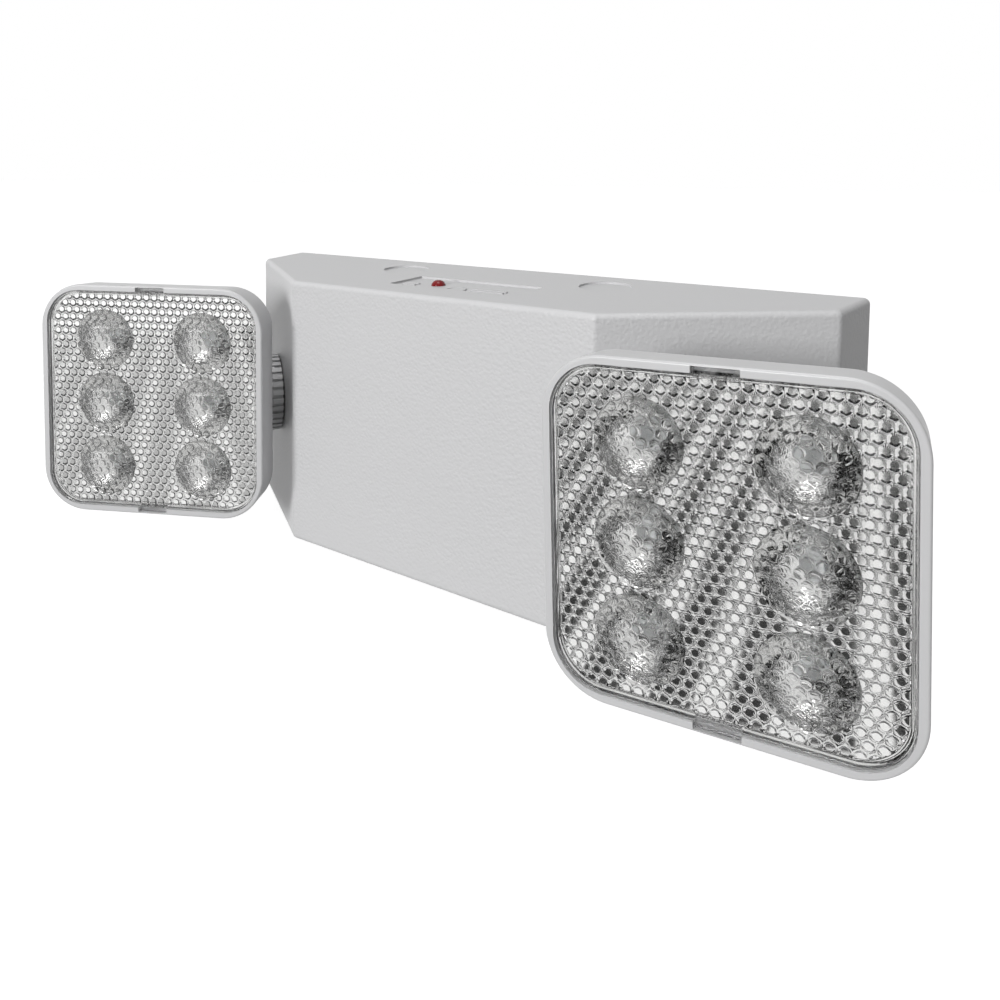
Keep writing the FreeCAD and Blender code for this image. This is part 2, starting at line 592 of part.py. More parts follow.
def rod(label, radius, height, x="0", y="0", z="0", along="z"):
    """A cylinder by its formulas, standing along z, or out of the wall along -Y."""
    item = doc.addObject("Part::Cylinder", label)
    item.Label = label
    bind(item, {"Radius": radius, "Height": height})
    if along == "-y":
        item.Placement = FreeCAD.Placement(V(), FreeCAD.Rotation(V(1, 0, 0), 90))
    bind(item, {"Placement.Base.x": x, "Placement.Base.y": y, "Placement.Base.z": z})
    return item


def join(label, items):
    """One piece from several overlapping ones."""
    item = doc.addObject("Part::MultiFuse", label)
    item.Label = label
    item.Shapes = items
    item.Refine = True
    return item


def minus(label, base, tool):
    """A piece with another cut out of it."""
    item = doc.addObject("Part::Cut", label)
    item.Label = label
    item.Base = base
    item.Tool = tool
    return item


def group(label, items):
    """Several separate, identical pieces under one name."""
    item = doc.addObject("Part::Compound", label)
    item.Label = label
    item.Links = items
    return item


def top_frame(x, depth, drop="0"):
    """A spot on the sloping top of the case, or square below it: z is square to the top there."""
    return {"x": x, "y": "-(%s) + (%s) * sin(calc.slope)" % (depth, drop),
            "z": "calc.half - (%s) * tan(calc.slope) - (%s) * cos(calc.slope)" % (depth, drop),
            "turn": "calc.slope", "axis": V(1, 0, 0)}


SIDES = (("left", -1), ("right", 1))


def step(x="0", y="0", z="0", axis="0; 0; 1", turn="0"):
    """One move and turn, as a formula; steps joined by a star follow each other."""
    return "placement(vector(%s; %s; %s); rotation(vector(%s); %s))" % (x, y, z, axis, turn)


def foot_frame(name, side):
    """The spot where a swivel axis leaves the slanted face: y runs along the axis into the case."""
    face = step("(%d) * calc.foot_x" % side, "-calc.foot_depth", "dim.swivel_height",
                turn="(%d) * calc.slant" % side)
    return face + " * " + step(axis="0; 1; 0", turn="dim.%s_swivel * 1 deg" % name)


def head_frame(name, side):
    """The front middle of a lamp head: y runs back into the head."""
    tilt = "dim.%s_turn * 1 deg - (%d) * calc.slant" % (name, side)
    return " * ".join([foot_frame(name, side), step(y="-dim.pivot_reach", turn=tilt),
                       step(y="-dim.pivot_setback", z="dim.head_rise")])


# The case: one moulded shell, open towards the wall.

def case_block(body, corners, half_height, fall):
    """A solid with the plan given by one side's corners, whose top and bottom draw in by the front."""
    plan = sketch_on(body, "XY_Plane")
    right = [(x, "-(%s)" % depth) for x, depth in corners]
    left = [("-(%s)" % x, y) for x, y in reversed(right)]
    outline(plan, right + left)
    pad(body, plan, "2 * (%s)" % half_height, both=True)
    front = corners[-1][1]
    back = corners[0][1]
    for up in (1, -1):
        wedge = sketch_on(body, "YZ_Plane")
        high = "(%d) * (%s)" % (up, half_height)
        outline(wedge, [("-(%s)" % back, high),
                        ("-(%s)" % front, "%s - (%d) * (%s)" % (high, up, fall)),
                        ("-(%s) - dim.case_wall" % front, "%s - (%d) * (%s)" % (high, up, fall)),
                        ("-(%s) - dim.case_wall" % front, "%s + (%d) * dim.case_wall" % (high, up)),
                        ("-(%s)" % back, "%s + (%d) * dim.case_wall" % (high, up))])
        pocket(body, wedge, "dim.back_width * 2", both=True)


def front_housing():
    """The case with its draft, sunk panel, knockouts, holes and snap ledges."""
    body = new_body("front_housing")
    past_wall = "-dim.case_wall"
    case_block(body, [("dim.back_width / 2 + dim.case_wall * tan(calc.side_slope)", past_wall),
                      ("dim.side_width / 2", "dim.side_depth"), ("dim.face_width / 2", "dim.body_depth")],
               "calc.half + dim.case_wall * tan(calc.slope)",
               "(dim.body_depth + dim.case_wall) * tan(calc.slope)")
    deep, side, high = size("body_depth"), size("side_depth"), size("half")
    face_x, side_x, back_x = (size(name) / 2 for name in ("face_width", "side_width", "back_width"))

    def upright(edge):
        """Outer edges between front, slanted and short side faces."""
        spot = middle(edge)
        flat = near(abs(spot.z), 0)
        return flat and ((near(-spot.y, deep) and near(abs(spot.x), face_x))
                         or (near(-spot.y, side) and near(abs(spot.x), side_x)))

    def rim(edge):
        """Outer edges round the top and the bottom, apart from the wall's."""
        spot = middle(edge)
        level = high - size("height_draft") * -spot.y / deep
        if not near(abs(spot.z), level) or spot.y > 0:
            return False
        ahead = -spot.y
        half_plan = back_x - (back_x - side_x) * ahead / side if ahead < side else (
            side_x - (side_x - face_x) * (ahead - side) / (deep - side))
        return near(abs(spot.x), half_plan, size("case_rim") / 2) or near(ahead, deep)

    soften(body, "dim.case_corner", upright)
    soften(body, "dim.case_rim", rim)
    hollow = new_body("case_hollow")
    case_block(hollow, [("calc.inner_back_x + dim.case_wall * tan(calc.side_slope)", past_wall),
                        ("calc.inner_side_x", "calc.inner_side_depth"),
                        ("calc.inner_face_x", "dim.body_depth - dim.case_wall")],
               "calc.half - dim.case_wall / cos(calc.slope) + dim.case_wall * tan(calc.slope)",
               "dim.body_depth * tan(calc.slope)")
    cut = body.newObject("PartDesign::Boolean", "front_housing_hollow")
    cut.Type = "Cut"
    cut.setObjects([hollow])
    body.Tip = cut
    doc.recompute()
    trim = sketch_on(body, "XZ_Plane")
    rect(trim, "2 * dim.back_width", "2 * dim.body_height")
    pocket(body, trim, "2 * dim.case_wall")
    for side in (-1, 1):
        hole = sketch_on(body, "XZ_Plane", x="(%d) * calc.foot_x" % side, y="dim.swivel_height",
                         z="calc.foot_depth", turn="(%d) * calc.slant" % side, axis=V(0, 1, 0))
        ring(hole, "dim.stem_radius + dim.stem_gap")
        pocket(body, hole, "dim.case_wall * 4", both=True)
    top_details(body)
    for side in (-1, 1):
        for up in (-1, 1):
            ledge = sketch_on(body, "XZ_Plane", x="(%d) * dim.hook_span / 2" % side,
                              z="dim.ledge_depth",
                              y="(%d) * (calc.half - dim.height_draft * dim.ledge_depth / dim.body_depth"
                                " - dim.case_wall - dim.ledge_reach / 2 + dim.case_wall / 4)" % up)
            rect(ledge, "dim.hook_width + 2 * dim.hook_thickness", "dim.ledge_reach + dim.case_wall / 2")
            pad(body, ledge, "dim.ledge_thickness")
    return body


def on_top(body, x, depth, drop="0"):
    """A sketch lying on the sloping top, or square below it; its y runs back towards the wall."""
    return sketch_on(body, "XY_Plane", **top_frame(x, depth, drop))


def top_details(body):
    """Sunk panel, indicator and button holes, knockout discs, bars and board posts in the top."""
    panel = on_top(body, "0", "calc.label_depth")
    rect(panel, "dim.label_width", "dim.label_length")
    pocket(body, panel, "2 * dim.label_sink", both=True)
    well = on_top(body, "dim.button_x", "calc.button_depth")
    ring(well, "dim.button_well_radius")
    pocket(body, well, "2 * dim.button_well_sink", both=True)
    for x, depth, radius in (("dim.dome_x", "calc.dome_depth", "dim.dome_radius + dim.dome_gap"),
                             ("dim.button_x", "calc.button_depth", "dim.button_radius + dim.button_gap")):
        hole = on_top(body, x, depth)
        ring(hole, radius)
        pocket(body, hole, "dim.case_wall * 4", both=True)
    for side in (-1, 1):
        disc = on_top(body, "(%d) * dim.knockout_span / 2" % side, "dim.knockout_depth")
        ring(disc, "dim.knockout_radius")
        pocket(body, disc, "2 * dim.knockout_sink", both=True)
    for name, side in SIDES:
        for row in range(BAR_ROWS):
            depth = "dim.body_depth - dim.bar_front_gap + %d * dim.bar_pitch" % row
            mark = on_top(body, "dim.%s_bar_x" % name, depth, "dim.label_sink")
            rect(mark, "dim.%s_bar_length" % name, "dim.bar_width")
            pad(body, mark, "dim.bar_height")
    for side in (-1, 1):
        post = on_top(body, "(%d) * dim.switch_post_span / 2" % side, "calc.switch_board_depth",
                      "dim.switch_board_drop")
        ring(post, "dim.post_radius")
        pad(body, post, "dim.switch_board_drop - dim.case_wall / 2 - dim.label_sink / 2")
        pilot = on_top(body, "(%d) * dim.switch_post_span / 2" % side, "calc.switch_board_depth",
                       "dim.switch_board_drop")
        ring(pilot, "dim.screw_shank")
        pocket(body, pilot, "dim.screw_length - dim.board_thickness + dim.screw_gap", back=True)


# The back plate and what it carries.

STRAP_SCREWS = [("calc.pack_x + (%d) * (calc.strap_half + dim.strap_thickness + dim.strap_foot / 2)" % side,
                 "calc.pack_z", "dim.strap_thickness") for side in (-1, 1)]
BRACKET_SCREWS = [("calc.core_x + (%d) * (dim.core_width / 2 + dim.bracket_sheet"
                   " + dim.bracket_foot / 2)" % side, "calc.core_z", "dim.bracket_sheet") for side in (-1, 1)]
BOARD_SCREWS = [("calc.board_x + (%d) * (dim.board_width / 2 - dim.board_margin)" % side,
                 "(%d) * (calc.board_half_height - dim.board_margin)" % up, "dim.board_thickness")
                for side in (-1, 1) for up in (-1, 1)]
PLATE_SCREWS = STRAP_SCREWS + BRACKET_SCREWS + BOARD_SCREWS


def back_plate():
    """The plate against the wall, with its rim, posts, cradle, hooks and holes."""
    body = new_body("back_plate")
    sheet = sketch_on(body, "XZ_Plane")
    rect(sheet, "2 * calc.plate_half_width", "2 * calc.plate_half_height")
    pad(body, sheet, "dim.plate_thickness")
    rim = sketch_on(body, "XZ_Plane")
    rect(rim, "2 * calc.plate_half_width", "2 * calc.plate_half_height")
    rect(rim, "2 * calc.rim_x", "2 * calc.rim_z")
    pad(body, rim, "dim.rim_height")
    posts = sketch_on(body, "XZ_Plane", z="dim.plate_thickness / 2")
    for x, z, seat in PLATE_SCREWS:
        ring(posts, "dim.post_radius", x, z)
    pad(body, posts, "dim.post_height + dim.plate_thickness / 2")
    pilots = sketch_on(body, "XZ_Plane", z="calc.board_face")
    for x, z, seat in PLATE_SCREWS:
        ring(pilots, "dim.screw_shank + dim.screw_gap", x, z)
    pocket(body, pilots, "dim.screw_length")
    cradle = sketch_on(body, "XZ_Plane", z="dim.plate_thickness / 2", x="calc.pack_x", y="calc.pack_z")
    inside = ("2 * (calc.pack_half + dim.pack_gap)", "dim.cell_length + 2 * dim.pack_gap")
    rect(cradle, *inside)
    rect(cradle, *["%s + 2 * dim.cradle_wall" % span for span in inside])
    pad(body, cradle, "dim.cradle_height + dim.plate_thickness / 2")
    for side in (-1, 1):
        for up in (-1, 1):
            snap_hook(body, side, up)
    entry = sketch_on(body, "XZ_Plane")
    ring(entry, "dim.entry_radius")
    for side in (-1, 1):
        for up in (-1, 1):
            ring(entry, "dim.wall_screw_radius", "(%d) * calc.wall_screw_x" % side,
                 "(%d) * calc.wall_screw_z" % up)
    pocket(body, entry, "dim.plate_thickness * 3", both=True)
    slots = sketch_on(body, "XZ_Plane")
    for side in (-1, 1):
        slot(slots, "dim.box_slot_length", "dim.box_slot_radius", "(%d) * dim.box_slot_span / 2" % side)
    pocket(body, slots, "dim.plate_thickness * 3", both=True)
    return body


def snap_hook(body, side, up):
    """One hook that snaps over a ledge in the case."""
    inner_top = "calc.half - dim.case_wall / cos(calc.slope) - dim.ledge_depth * tan(calc.slope)"
    face = "(%s - dim.ledge_reach - dim.snap_gap)" % inner_top
    lip = "(dim.ledge_depth + dim.ledge_thickness + dim.snap_gap)"
    profile = sketch_on(body, "YZ_Plane", z="(%d) * dim.hook_span / 2" % side)
    corners = [("-dim.plate_thickness / 2", "%s - dim.hook_thickness" % face),
               ("-dim.plate_thickness / 2", face),
               ("-%s" % lip, face),
               ("-%s" % lip, "%s + dim.hook_barb + dim.snap_gap" % face),
               ("-%s - dim.hook_thickness / 2" % lip, "%s + dim.hook_barb + dim.snap_gap" % face),
               ("-%s - 2 * dim.hook_thickness" % lip, face),
               ("-%s - 2 * dim.hook_thickness" % lip, "%s - dim.hook_thickness" % face)]
    outline(profile, [(y, "(%d) * (%s)" % (up, z)) for y, z in corners])
    pad(body, profile, "dim.hook_width", both=True)


def plate_screws():
    """The screws that hold strap, bracket and charger board to the back plate."""
    screws = [screw("plate_screw", {"x": x, "z": z, "y": "-(calc.board_face + %s)" % seat,
                                    "turn": "90 deg", "axis": V(1, 0, 0)}, seat)
              for x, z, seat in PLATE_SCREWS]
    return group("plate_screws", screws)


def screw(label, where, seat):
    """A pan head screw: the head stands along z of its spot, the shank goes the other way."""
    shank = rod(label + "_shank", "dim.screw_shank", "dim.screw_length + %s - dim.screw_gap" % seat,
                z="-(dim.screw_length + %s - dim.screw_gap)" % seat)
    head = rod(label + "_head", "dim.screw_head", "dim.screw_head_height")
    slot = box(label + "_slot", "dim.screw_head * 3", "dim.screw_head / 4", "dim.screw_head_height",
               y="-dim.screw_head / 8", z="dim.screw_head_height / 2", centred="x")
    return place(minus(label, join(label + "_blank", [shank, head]), slot), **where)


def bridge(label, x, z, half, front, sheet, foot, width):
    """A strap bent over a piece, with a foot on a post at each side and a hole in each foot."""
    body = new_body(label, x=x, z=z)
    profile = sketch_on(body, "XY_Plane")
    seat = "calc.board_face"
    right = [(half, seat), ("%s + %s + %s" % (half, sheet, foot), seat),
             ("%s + %s + %s" % (half, sheet, foot), "%s + %s" % (seat, sheet)),
             ("%s + %s" % (half, sheet), "%s + %s" % (seat, sheet)),
             ("%s + %s" % (half, sheet), "%s + %s" % (front, sheet))]
    left = [("-(%s)" % px, depth) for px, depth in reversed(right)]
    inner = [("-(%s)" % half, front), (half, front)]
    corners = [(px, "-(%s)" % depth) for px, depth in right + left + inner]
    outline(profile, corners)
    pad(body, profile, width, both=True)
    holes = sketch_on(body, "XZ_Plane", z="%s + %s" % (seat, sheet))
    for side in (-1, 1):
        ring(holes, "dim.screw_shank + dim.screw_gap",
             "(%d) * (%s + %s + %s / 2)" % (side, half, sheet, foot))
    pocket(body, holes, "2 * %s" % sheet)
    return body


def battery_pack():
    """Four cells side by side in a shrunk wrap, as one sealed piece."""
    body = new_body("battery_pack", x="calc.pack_x", y="-calc.pack_depth", z="calc.pack_z")
    for cell in range(CELLS):
        round_end = sketch_on(body, "XY_Plane")
        ring(round_end, "dim.cell_radius", "dim.cell_radius * (%d)" % (2 * cell + 1 - CELLS))
        pad(body, round_end, "dim.cell_length", both=True)
    wrap = sketch_on(body, "XY_Plane")
    rect(wrap, "2 * calc.pack_half - 2 * dim.cell_radius", "2 * (dim.cell_radius - dim.cell_sink)")
    pad(body, wrap, "dim.cell_length", both=True)
    return body


def transformer_core():
    """The stack of sheets, with two windows."""
    body = new_body("transformer_core", x="calc.core_x", z="calc.core_z",
                    y="-(dim.plate_thickness + dim.core_depth / 2)")
    sheet = sketch_on(body, "XY_Plane")
    rect(sheet, "dim.core_width", "dim.core_depth")
    window = "(dim.core_width - 2 * dim.core_leg - dim.core_middle) / 2"
    for side in (-1, 1):
        rect(sheet, window, "dim.core_depth - 2 * dim.core_leg",
             "(%d) * (dim.core_middle + %s) / 2" % (side, window))
    pad(body, sheet, "dim.core_stack", both=True)
    return body


def transformer_coil():
    """The winding round the core's middle leg."""
    body = new_body("transformer_coil", x="calc.core_x", z="calc.core_z",
                    y="-(dim.plate_thickness + dim.core_depth / 2)")
    turns = sketch_on(body, "XZ_Plane")
    round_rect(turns, "dim.core_width - 2 * dim.core_leg - 2 * dim.coil_gap",
               "dim.core_stack + 2 * dim.coil_bulge", "dim.coil_bulge / 2")
    rect(turns, "dim.core_middle + 2 * dim.coil_gap", "dim.core_stack + 2 * dim.coil_gap")
    pad(body, turns, "dim.core_depth - 2 * dim.core_leg - 2 * dim.coil_gap", both=True)
    return body


def charger_board():
    """The main circuit board, on four posts."""
    body = new_body("charger_board", x="calc.board_x", y="-calc.board_face")
    sheet = sketch_on(body, "XZ_Plane")
    rect(sheet, "dim.board_width", "2 * calc.board_half_height")
    for side in (-1, 1):
        for up in (-1, 1):
            ring(sheet, "dim.screw_shank + dim.screw_gap",
                 "(%d) * (dim.board_width / 2 - dim.board_margin)" % side,
                 "(%d) * (calc.board_half_height - dim.board_margin)" % up)
    pad(body, sheet, "dim.board_thickness")
    return body


def on_board(label, width, depth, height, x, z):
    """A block that stands on the front of the charger board, across from the board's middle."""
    return box(label, width, depth, height, x="calc.board_x + " + x,
               y="-calc.board_front - (%s)" % depth, z=z)


def capacitors():
    """Round cans in a row on the board."""
    cans = [rod("capacitor", "dim.can_radius", "dim.can_height",
                "calc.board_x + dim.can_x + %d * dim.can_pitch" % i, "-calc.board_front", "calc.can_z",
                along="-y") for i in range(CAPACITORS)]
    return group("capacitors", cans)


def heat_sink():
    """A finned block on the board."""
    floor = on_board("heat_sink_floor", "dim.sink_width", "dim.sink_floor", "dim.sink_height",
                     "dim.sink_x", "calc.sink_z")
    fins = [on_board("heat_sink_fin", "dim.fin_wall", "dim.sink_depth", "dim.sink_height",
                     "dim.sink_x + (%d) * (dim.fin_wall + dim.fin_gap) / 2" % (2 * i + 1 - FINS),
                     "calc.sink_z") for i in range(FINS)]
    return join("heat_sink", [floor] + fins)


def terminal_block():
    """The supply terminals, with a screw hole for each."""
    block = on_board("terminal_block_blank", "dim.block_width", "dim.block_depth", "dim.block_height",
                     "dim.block_x", "calc.block_z")
    holes = [rod("terminal_hole", "dim.terminal_radius", "2 * dim.terminal_sink",
                 "calc.board_x + dim.block_x",
                 "-(calc.board_front + dim.block_depth - dim.terminal_sink)",
                 "calc.block_z + (%d) * dim.terminal_pitch / 2" % (2 * i + 1 - TERMINALS), along="-y")
             for i in range(TERMINALS)]
    return minus("terminal_block", block, join("terminal_holes", holes))


def socket_spot(i):
    """One lead socket, across from the board's middle."""
    return "dim.socket_x + %d * dim.socket_pitch" % i


def lead_sockets():
    """The sockets on the board for battery, left lamp, switch and right lamp."""
    return group("lead_sockets", [on_board("lead_socket", "dim.socket_width", "dim.socket_depth",
                                           "dim.socket_height", socket_spot(i), "dim.socket_z")
                                  for i in range(SOCKETS)])


def lead_plugs():
    """The plugs in those sockets."""
    return group("lead_plugs", [box("lead_plug", "dim.socket_width - dim.plug_margin", "dim.plug_depth",
                                    "dim.socket_height - dim.plug_margin",
                                    x="calc.board_x + " + socket_spot(i), y="-calc.plug_front",
                                    z="dim.socket_z")
                                for i in range(SOCKETS)])


# Test button, its switch and the charge indicator, square to the sloping top.

def charge_indicator():
    """The coloured dome, with a flange under the top."""
    body = new_body("charge_indicator", **top_frame("dim.dome_x", "calc.dome_depth"))
    profile = sketch_on(body, "XZ_Plane")
    base = "-dim.case_wall - dim.dome_flange_height"
    outline(profile, [("0", base), ("dim.dome_flange_radius", base),
                      ("dim.dome_flange_radius", "-dim.case_wall"), ("dim.dome_radius", "-dim.case_wall"),
                      ("dim.dome_radius", "dim.dome_rise"), ("0", "dim.dome_rise")])
    spun(body, profile, "V_Axis")
    soften(body, "dim.dome_crown", lambda edge: near(middle(edge).z, size("dome_rise")))
    return body


def test_button():
    """The round button, with a flange that keeps it in the case and a foot on the plunger."""
    body = new_body("test_button", **top_frame("dim.button_x", "calc.button_depth"))
    flange_top = "-dim.case_wall - dim.button_gap"
    plunger_top = "-(dim.switch_board_drop - dim.switch_height - dim.plunger_rise)"
    for radius, low, high in (("dim.button_flange_radius", "%s - dim.button_flange_height" % flange_top,
                               flange_top),
                              ("dim.button_radius", flange_top, "-dim.button_sink"),
                              ("dim.plunger_radius", plunger_top, flange_top)):
        disc = sketch_on(body, "XY_Plane", z=low)
        ring(disc, radius)
        pad(body, disc, "%s - (%s)" % (high, low))
    soften(body, "dim.button_sink / 2", lambda edge: near(middle(edge).z, -size("button_sink")))
    return body


def test_switch():
    """The switch body, with a well for its plunger."""
    block = box("test_switch_blank", "dim.switch_side", "dim.switch_side", "dim.switch_height", centred="xy")
    well = rod("test_switch_well", "dim.plunger_radius + dim.stem_gap", "dim.switch_height",
               z="dim.switch_height - dim.plunger_grip - dim.button_travel - dim.button_gap")
    return place(minus("test_switch", block, well), **top_frame("dim.button_x", "calc.button_depth",
                                                                     "dim.switch_board_drop"))


def switch_plunger():
    """The switch's plunger, which goes down with the button."""
    plunger = rod("switch_plunger", "dim.plunger_radius", "dim.plunger_rise + dim.plunger_grip")
    drop = "dim.switch_board_drop - dim.switch_height + dim.plunger_grip"
    return place(plunger, **top_frame("dim.button_x", "calc.button_depth", drop))


def switch_board():
    """The small board under the top, on two posts."""
    body = new_body("switch_board", **top_frame("0", "calc.switch_board_depth"))
    sheet = sketch_on(body, "XY_Plane", z="-dim.switch_board_drop")
    rect(sheet, "dim.switch_board_width", "dim.switch_board_length")
    for side in (-1, 1):
        ring(sheet, "dim.screw_shank + dim.screw_gap", "(%d) * dim.switch_post_span / 2" % side)
    pad(body, sheet, "dim.board_thickness", back=True)
    return body


def switch_board_screws():
    """The two screws from below into the posts of the top."""
    screws = []
    for side in (-1, 1):
        where = top_frame("(%d) * dim.switch_post_span / 2" % side, "calc.switch_board_depth",
                          "dim.switch_board_drop + dim.board_thickness")
        where["turn"] = "180 deg + calc.slope"
        screws.append(screw("switch_board_screw", where, "0"))
    return group("switch_board_screws", screws)


def indicator_led():
    """The light under the dome, on the switch board."""
    stalk = rod("indicator_led_body", "dim.stalk_radius",
                "dim.switch_board_drop - dim.case_wall - dim.dome_flange_height - dim.button_gap")
    skirt = rod("indicator_led_skirt", "dim.dome_radius", "dim.board_thickness")
    led = join("indicator_led", [stalk, skirt])
    return place(led, **top_frame("dim.dome_x", "calc.dome_depth", "dim.switch_board_drop"))


# The knuckle on each slanted face: it turns in the case and carries the tilt pivot.

def neck_span(reach, base, tip):
    """Width or height of the tapering neck at some reach from the slanted face."""
    start = "(dim.washer_height + dim.flange_height / 2)"
    return "(%s + (%s - %s) * (%s - %s) / (dim.neck_tip_reach - %s))" % (base, tip, base, reach, start, start)


def swivel_knuckle(name, side):
    """Flange, hollow stem, ribbed neck with a wire window, and the barrel of the tilt pivot."""
    body = new_body(name + "_swivel_knuckle", frame=foot_frame(name, side))
    base = sketch_on(body, "XZ_Plane", z="dim.washer_height")
    ring(base, "dim.flange_radius")
    pad(body, base, "dim.flange_height")
    face = size("washer_height") + size("flange_height")
    soften(body, "dim.flange_height / 3", lambda edge: near(-middle(edge).y, face))
    stem = sketch_on(body, "XZ_Plane", z="dim.washer_height + dim.flange_height / 2")
    ring(stem, "dim.stem_radius")
    pad(body, stem, "dim.stem_length + dim.washer_height + dim.flange_height / 2", back=True)
    grip = sketch_on(body, "XZ_Plane", z="dim.washer_height + dim.flange_height")
    rect(grip, "dim.grip_width", "2 * dim.grip_depth", "0", "dim.flange_radius")
    repeat_round(body, grip, pocket(body, grip, "dim.flange_height"), GRIP_GROOVES)
    foot = sketch_on(body, "XZ_Plane", z="dim.washer_height + dim.flange_height / 2")
    round_rect(foot, "dim.neck_base_width", "dim.neck_base_height", "dim.neck_corner")
    tip = sketch_on(body, "XZ_Plane", z="dim.neck_tip_reach")
    round_rect(tip, "dim.neck_tip_width", "dim.neck_tip_height", "dim.neck_corner")
    feature(body, "AdditiveLoft", foot, body.Label + "_neck", {"Sections": [tip], "Ruled": True}, {})
    arm = sketch_on(body, "XZ_Plane", z="dim.neck_tip_reach - dim.neck_corner")
    round_rect(arm, "dim.neck_tip_width", "dim.neck_tip_height", "dim.neck_corner")
    pad(body, arm, "dim.pivot_reach - dim.neck_tip_reach + dim.neck_corner")
    barrel = sketch_on(body, "XY_Plane")
    ring(barrel, "dim.barrel_radius", "0", "-dim.pivot_reach")
    pad(body, barrel, "dim.barrel_height", both=True)
    for groove in range(NECK_GROOVES):
        reach = "(dim.rib_start + %d * dim.rib_pitch)" % groove
        frame = sketch_on(body, "XZ_Plane", z=reach + " + dim.rib_width")
        rect(frame, "2 * dim.neck_base_width", "2 * dim.neck_base_height")
        width = neck_span(reach, "dim.neck_base_width", "dim.neck_tip_width")
        height = neck_span(reach, "dim.neck_base_height", "dim.neck_tip_height")
        rect(frame, "%s - 2 * dim.rib_depth" % width, "%s - 2 * dim.rib_depth" % height)
        pocket(body, frame, "dim.rib_width")
    bore = sketch_on(body, "XZ_Plane", z="dim.window_reach + dim.window_length / 2")
    ring(bore, "dim.stem_bore")
    pocket(body, bore, "dim.window_reach + dim.window_length / 2 + dim.stem_length * 2")
    window = sketch_on(body, "YZ_Plane")
    rect(window, "dim.window_length", "dim.window_height", "-dim.window_reach")
    pocket(body, window, "4 * dim.neck_base_width", both=True)
    pivot = sketch_on(body, "XY_Plane")
    ring(pivot, "dim.pin_radius + dim.pin_gap", "0", "-dim.pivot_reach")
    pocket(body, pivot, "2 * dim.barrel_height", both=True)
    return body


def disc_ring(label, frame, start, length, outer, inner):
    """A flat ring in some frame, from a start along y, that far in."""
    body = new_body(label, frame=frame)
    sketch = sketch_on(body, "XZ_Plane", z="-(%s)" % start)
    ring(sketch, outer)
    ring(sketch, inner)
    pad(body, sketch, length, back=True)
    return body


def friction_washer(name, side):
    """The ring between the knuckle's flange and the case."""
    return disc_ring(name + "_friction_washer", foot_frame(name, side), "-dim.washer_height",
                     "dim.washer_height", "dim.washer_radius", "dim.stem_radius + dim.stem_gap")


def spring_washer(name, side):
    """The spring ring between the case and the retaining nut."""
    return disc_ring(name + "_spring_washer", foot_frame(name, side), "dim.case_wall",
                     "dim.spring_height", "dim.spring_radius", "dim.stem_radius + dim.stem_gap")


def hexagon(sketch, across, x="0", y="0"):
    """A six-sided outline, given across its flats."""
    corner = "(%s) / 2 / cos(30 deg)" % across
    turns = range(0, 360, 60)
    outline(sketch, [("%s + %s * cos(%d deg)" % (x, corner, turn),
                      "%s + %s * sin(%d deg)" % (y, corner, turn)) for turn in turns])


def retaining_nut(name, side):
    """The nut inside the case that holds the knuckle."""
    body = new_body(name + "_retaining_nut", frame=foot_frame(name, side))
    sketch = sketch_on(body, "XZ_Plane", z="-(dim.case_wall + dim.spring_height)")
    hexagon(sketch, "2 * dim.nut_radius * cos(30 deg)")
    ring(sketch, "dim.stem_radius + dim.screw_gap")
    pad(body, sketch, "dim.nut_height", back=True)
    return body


# The lamp heads: both are the same, built from the front face backwards.

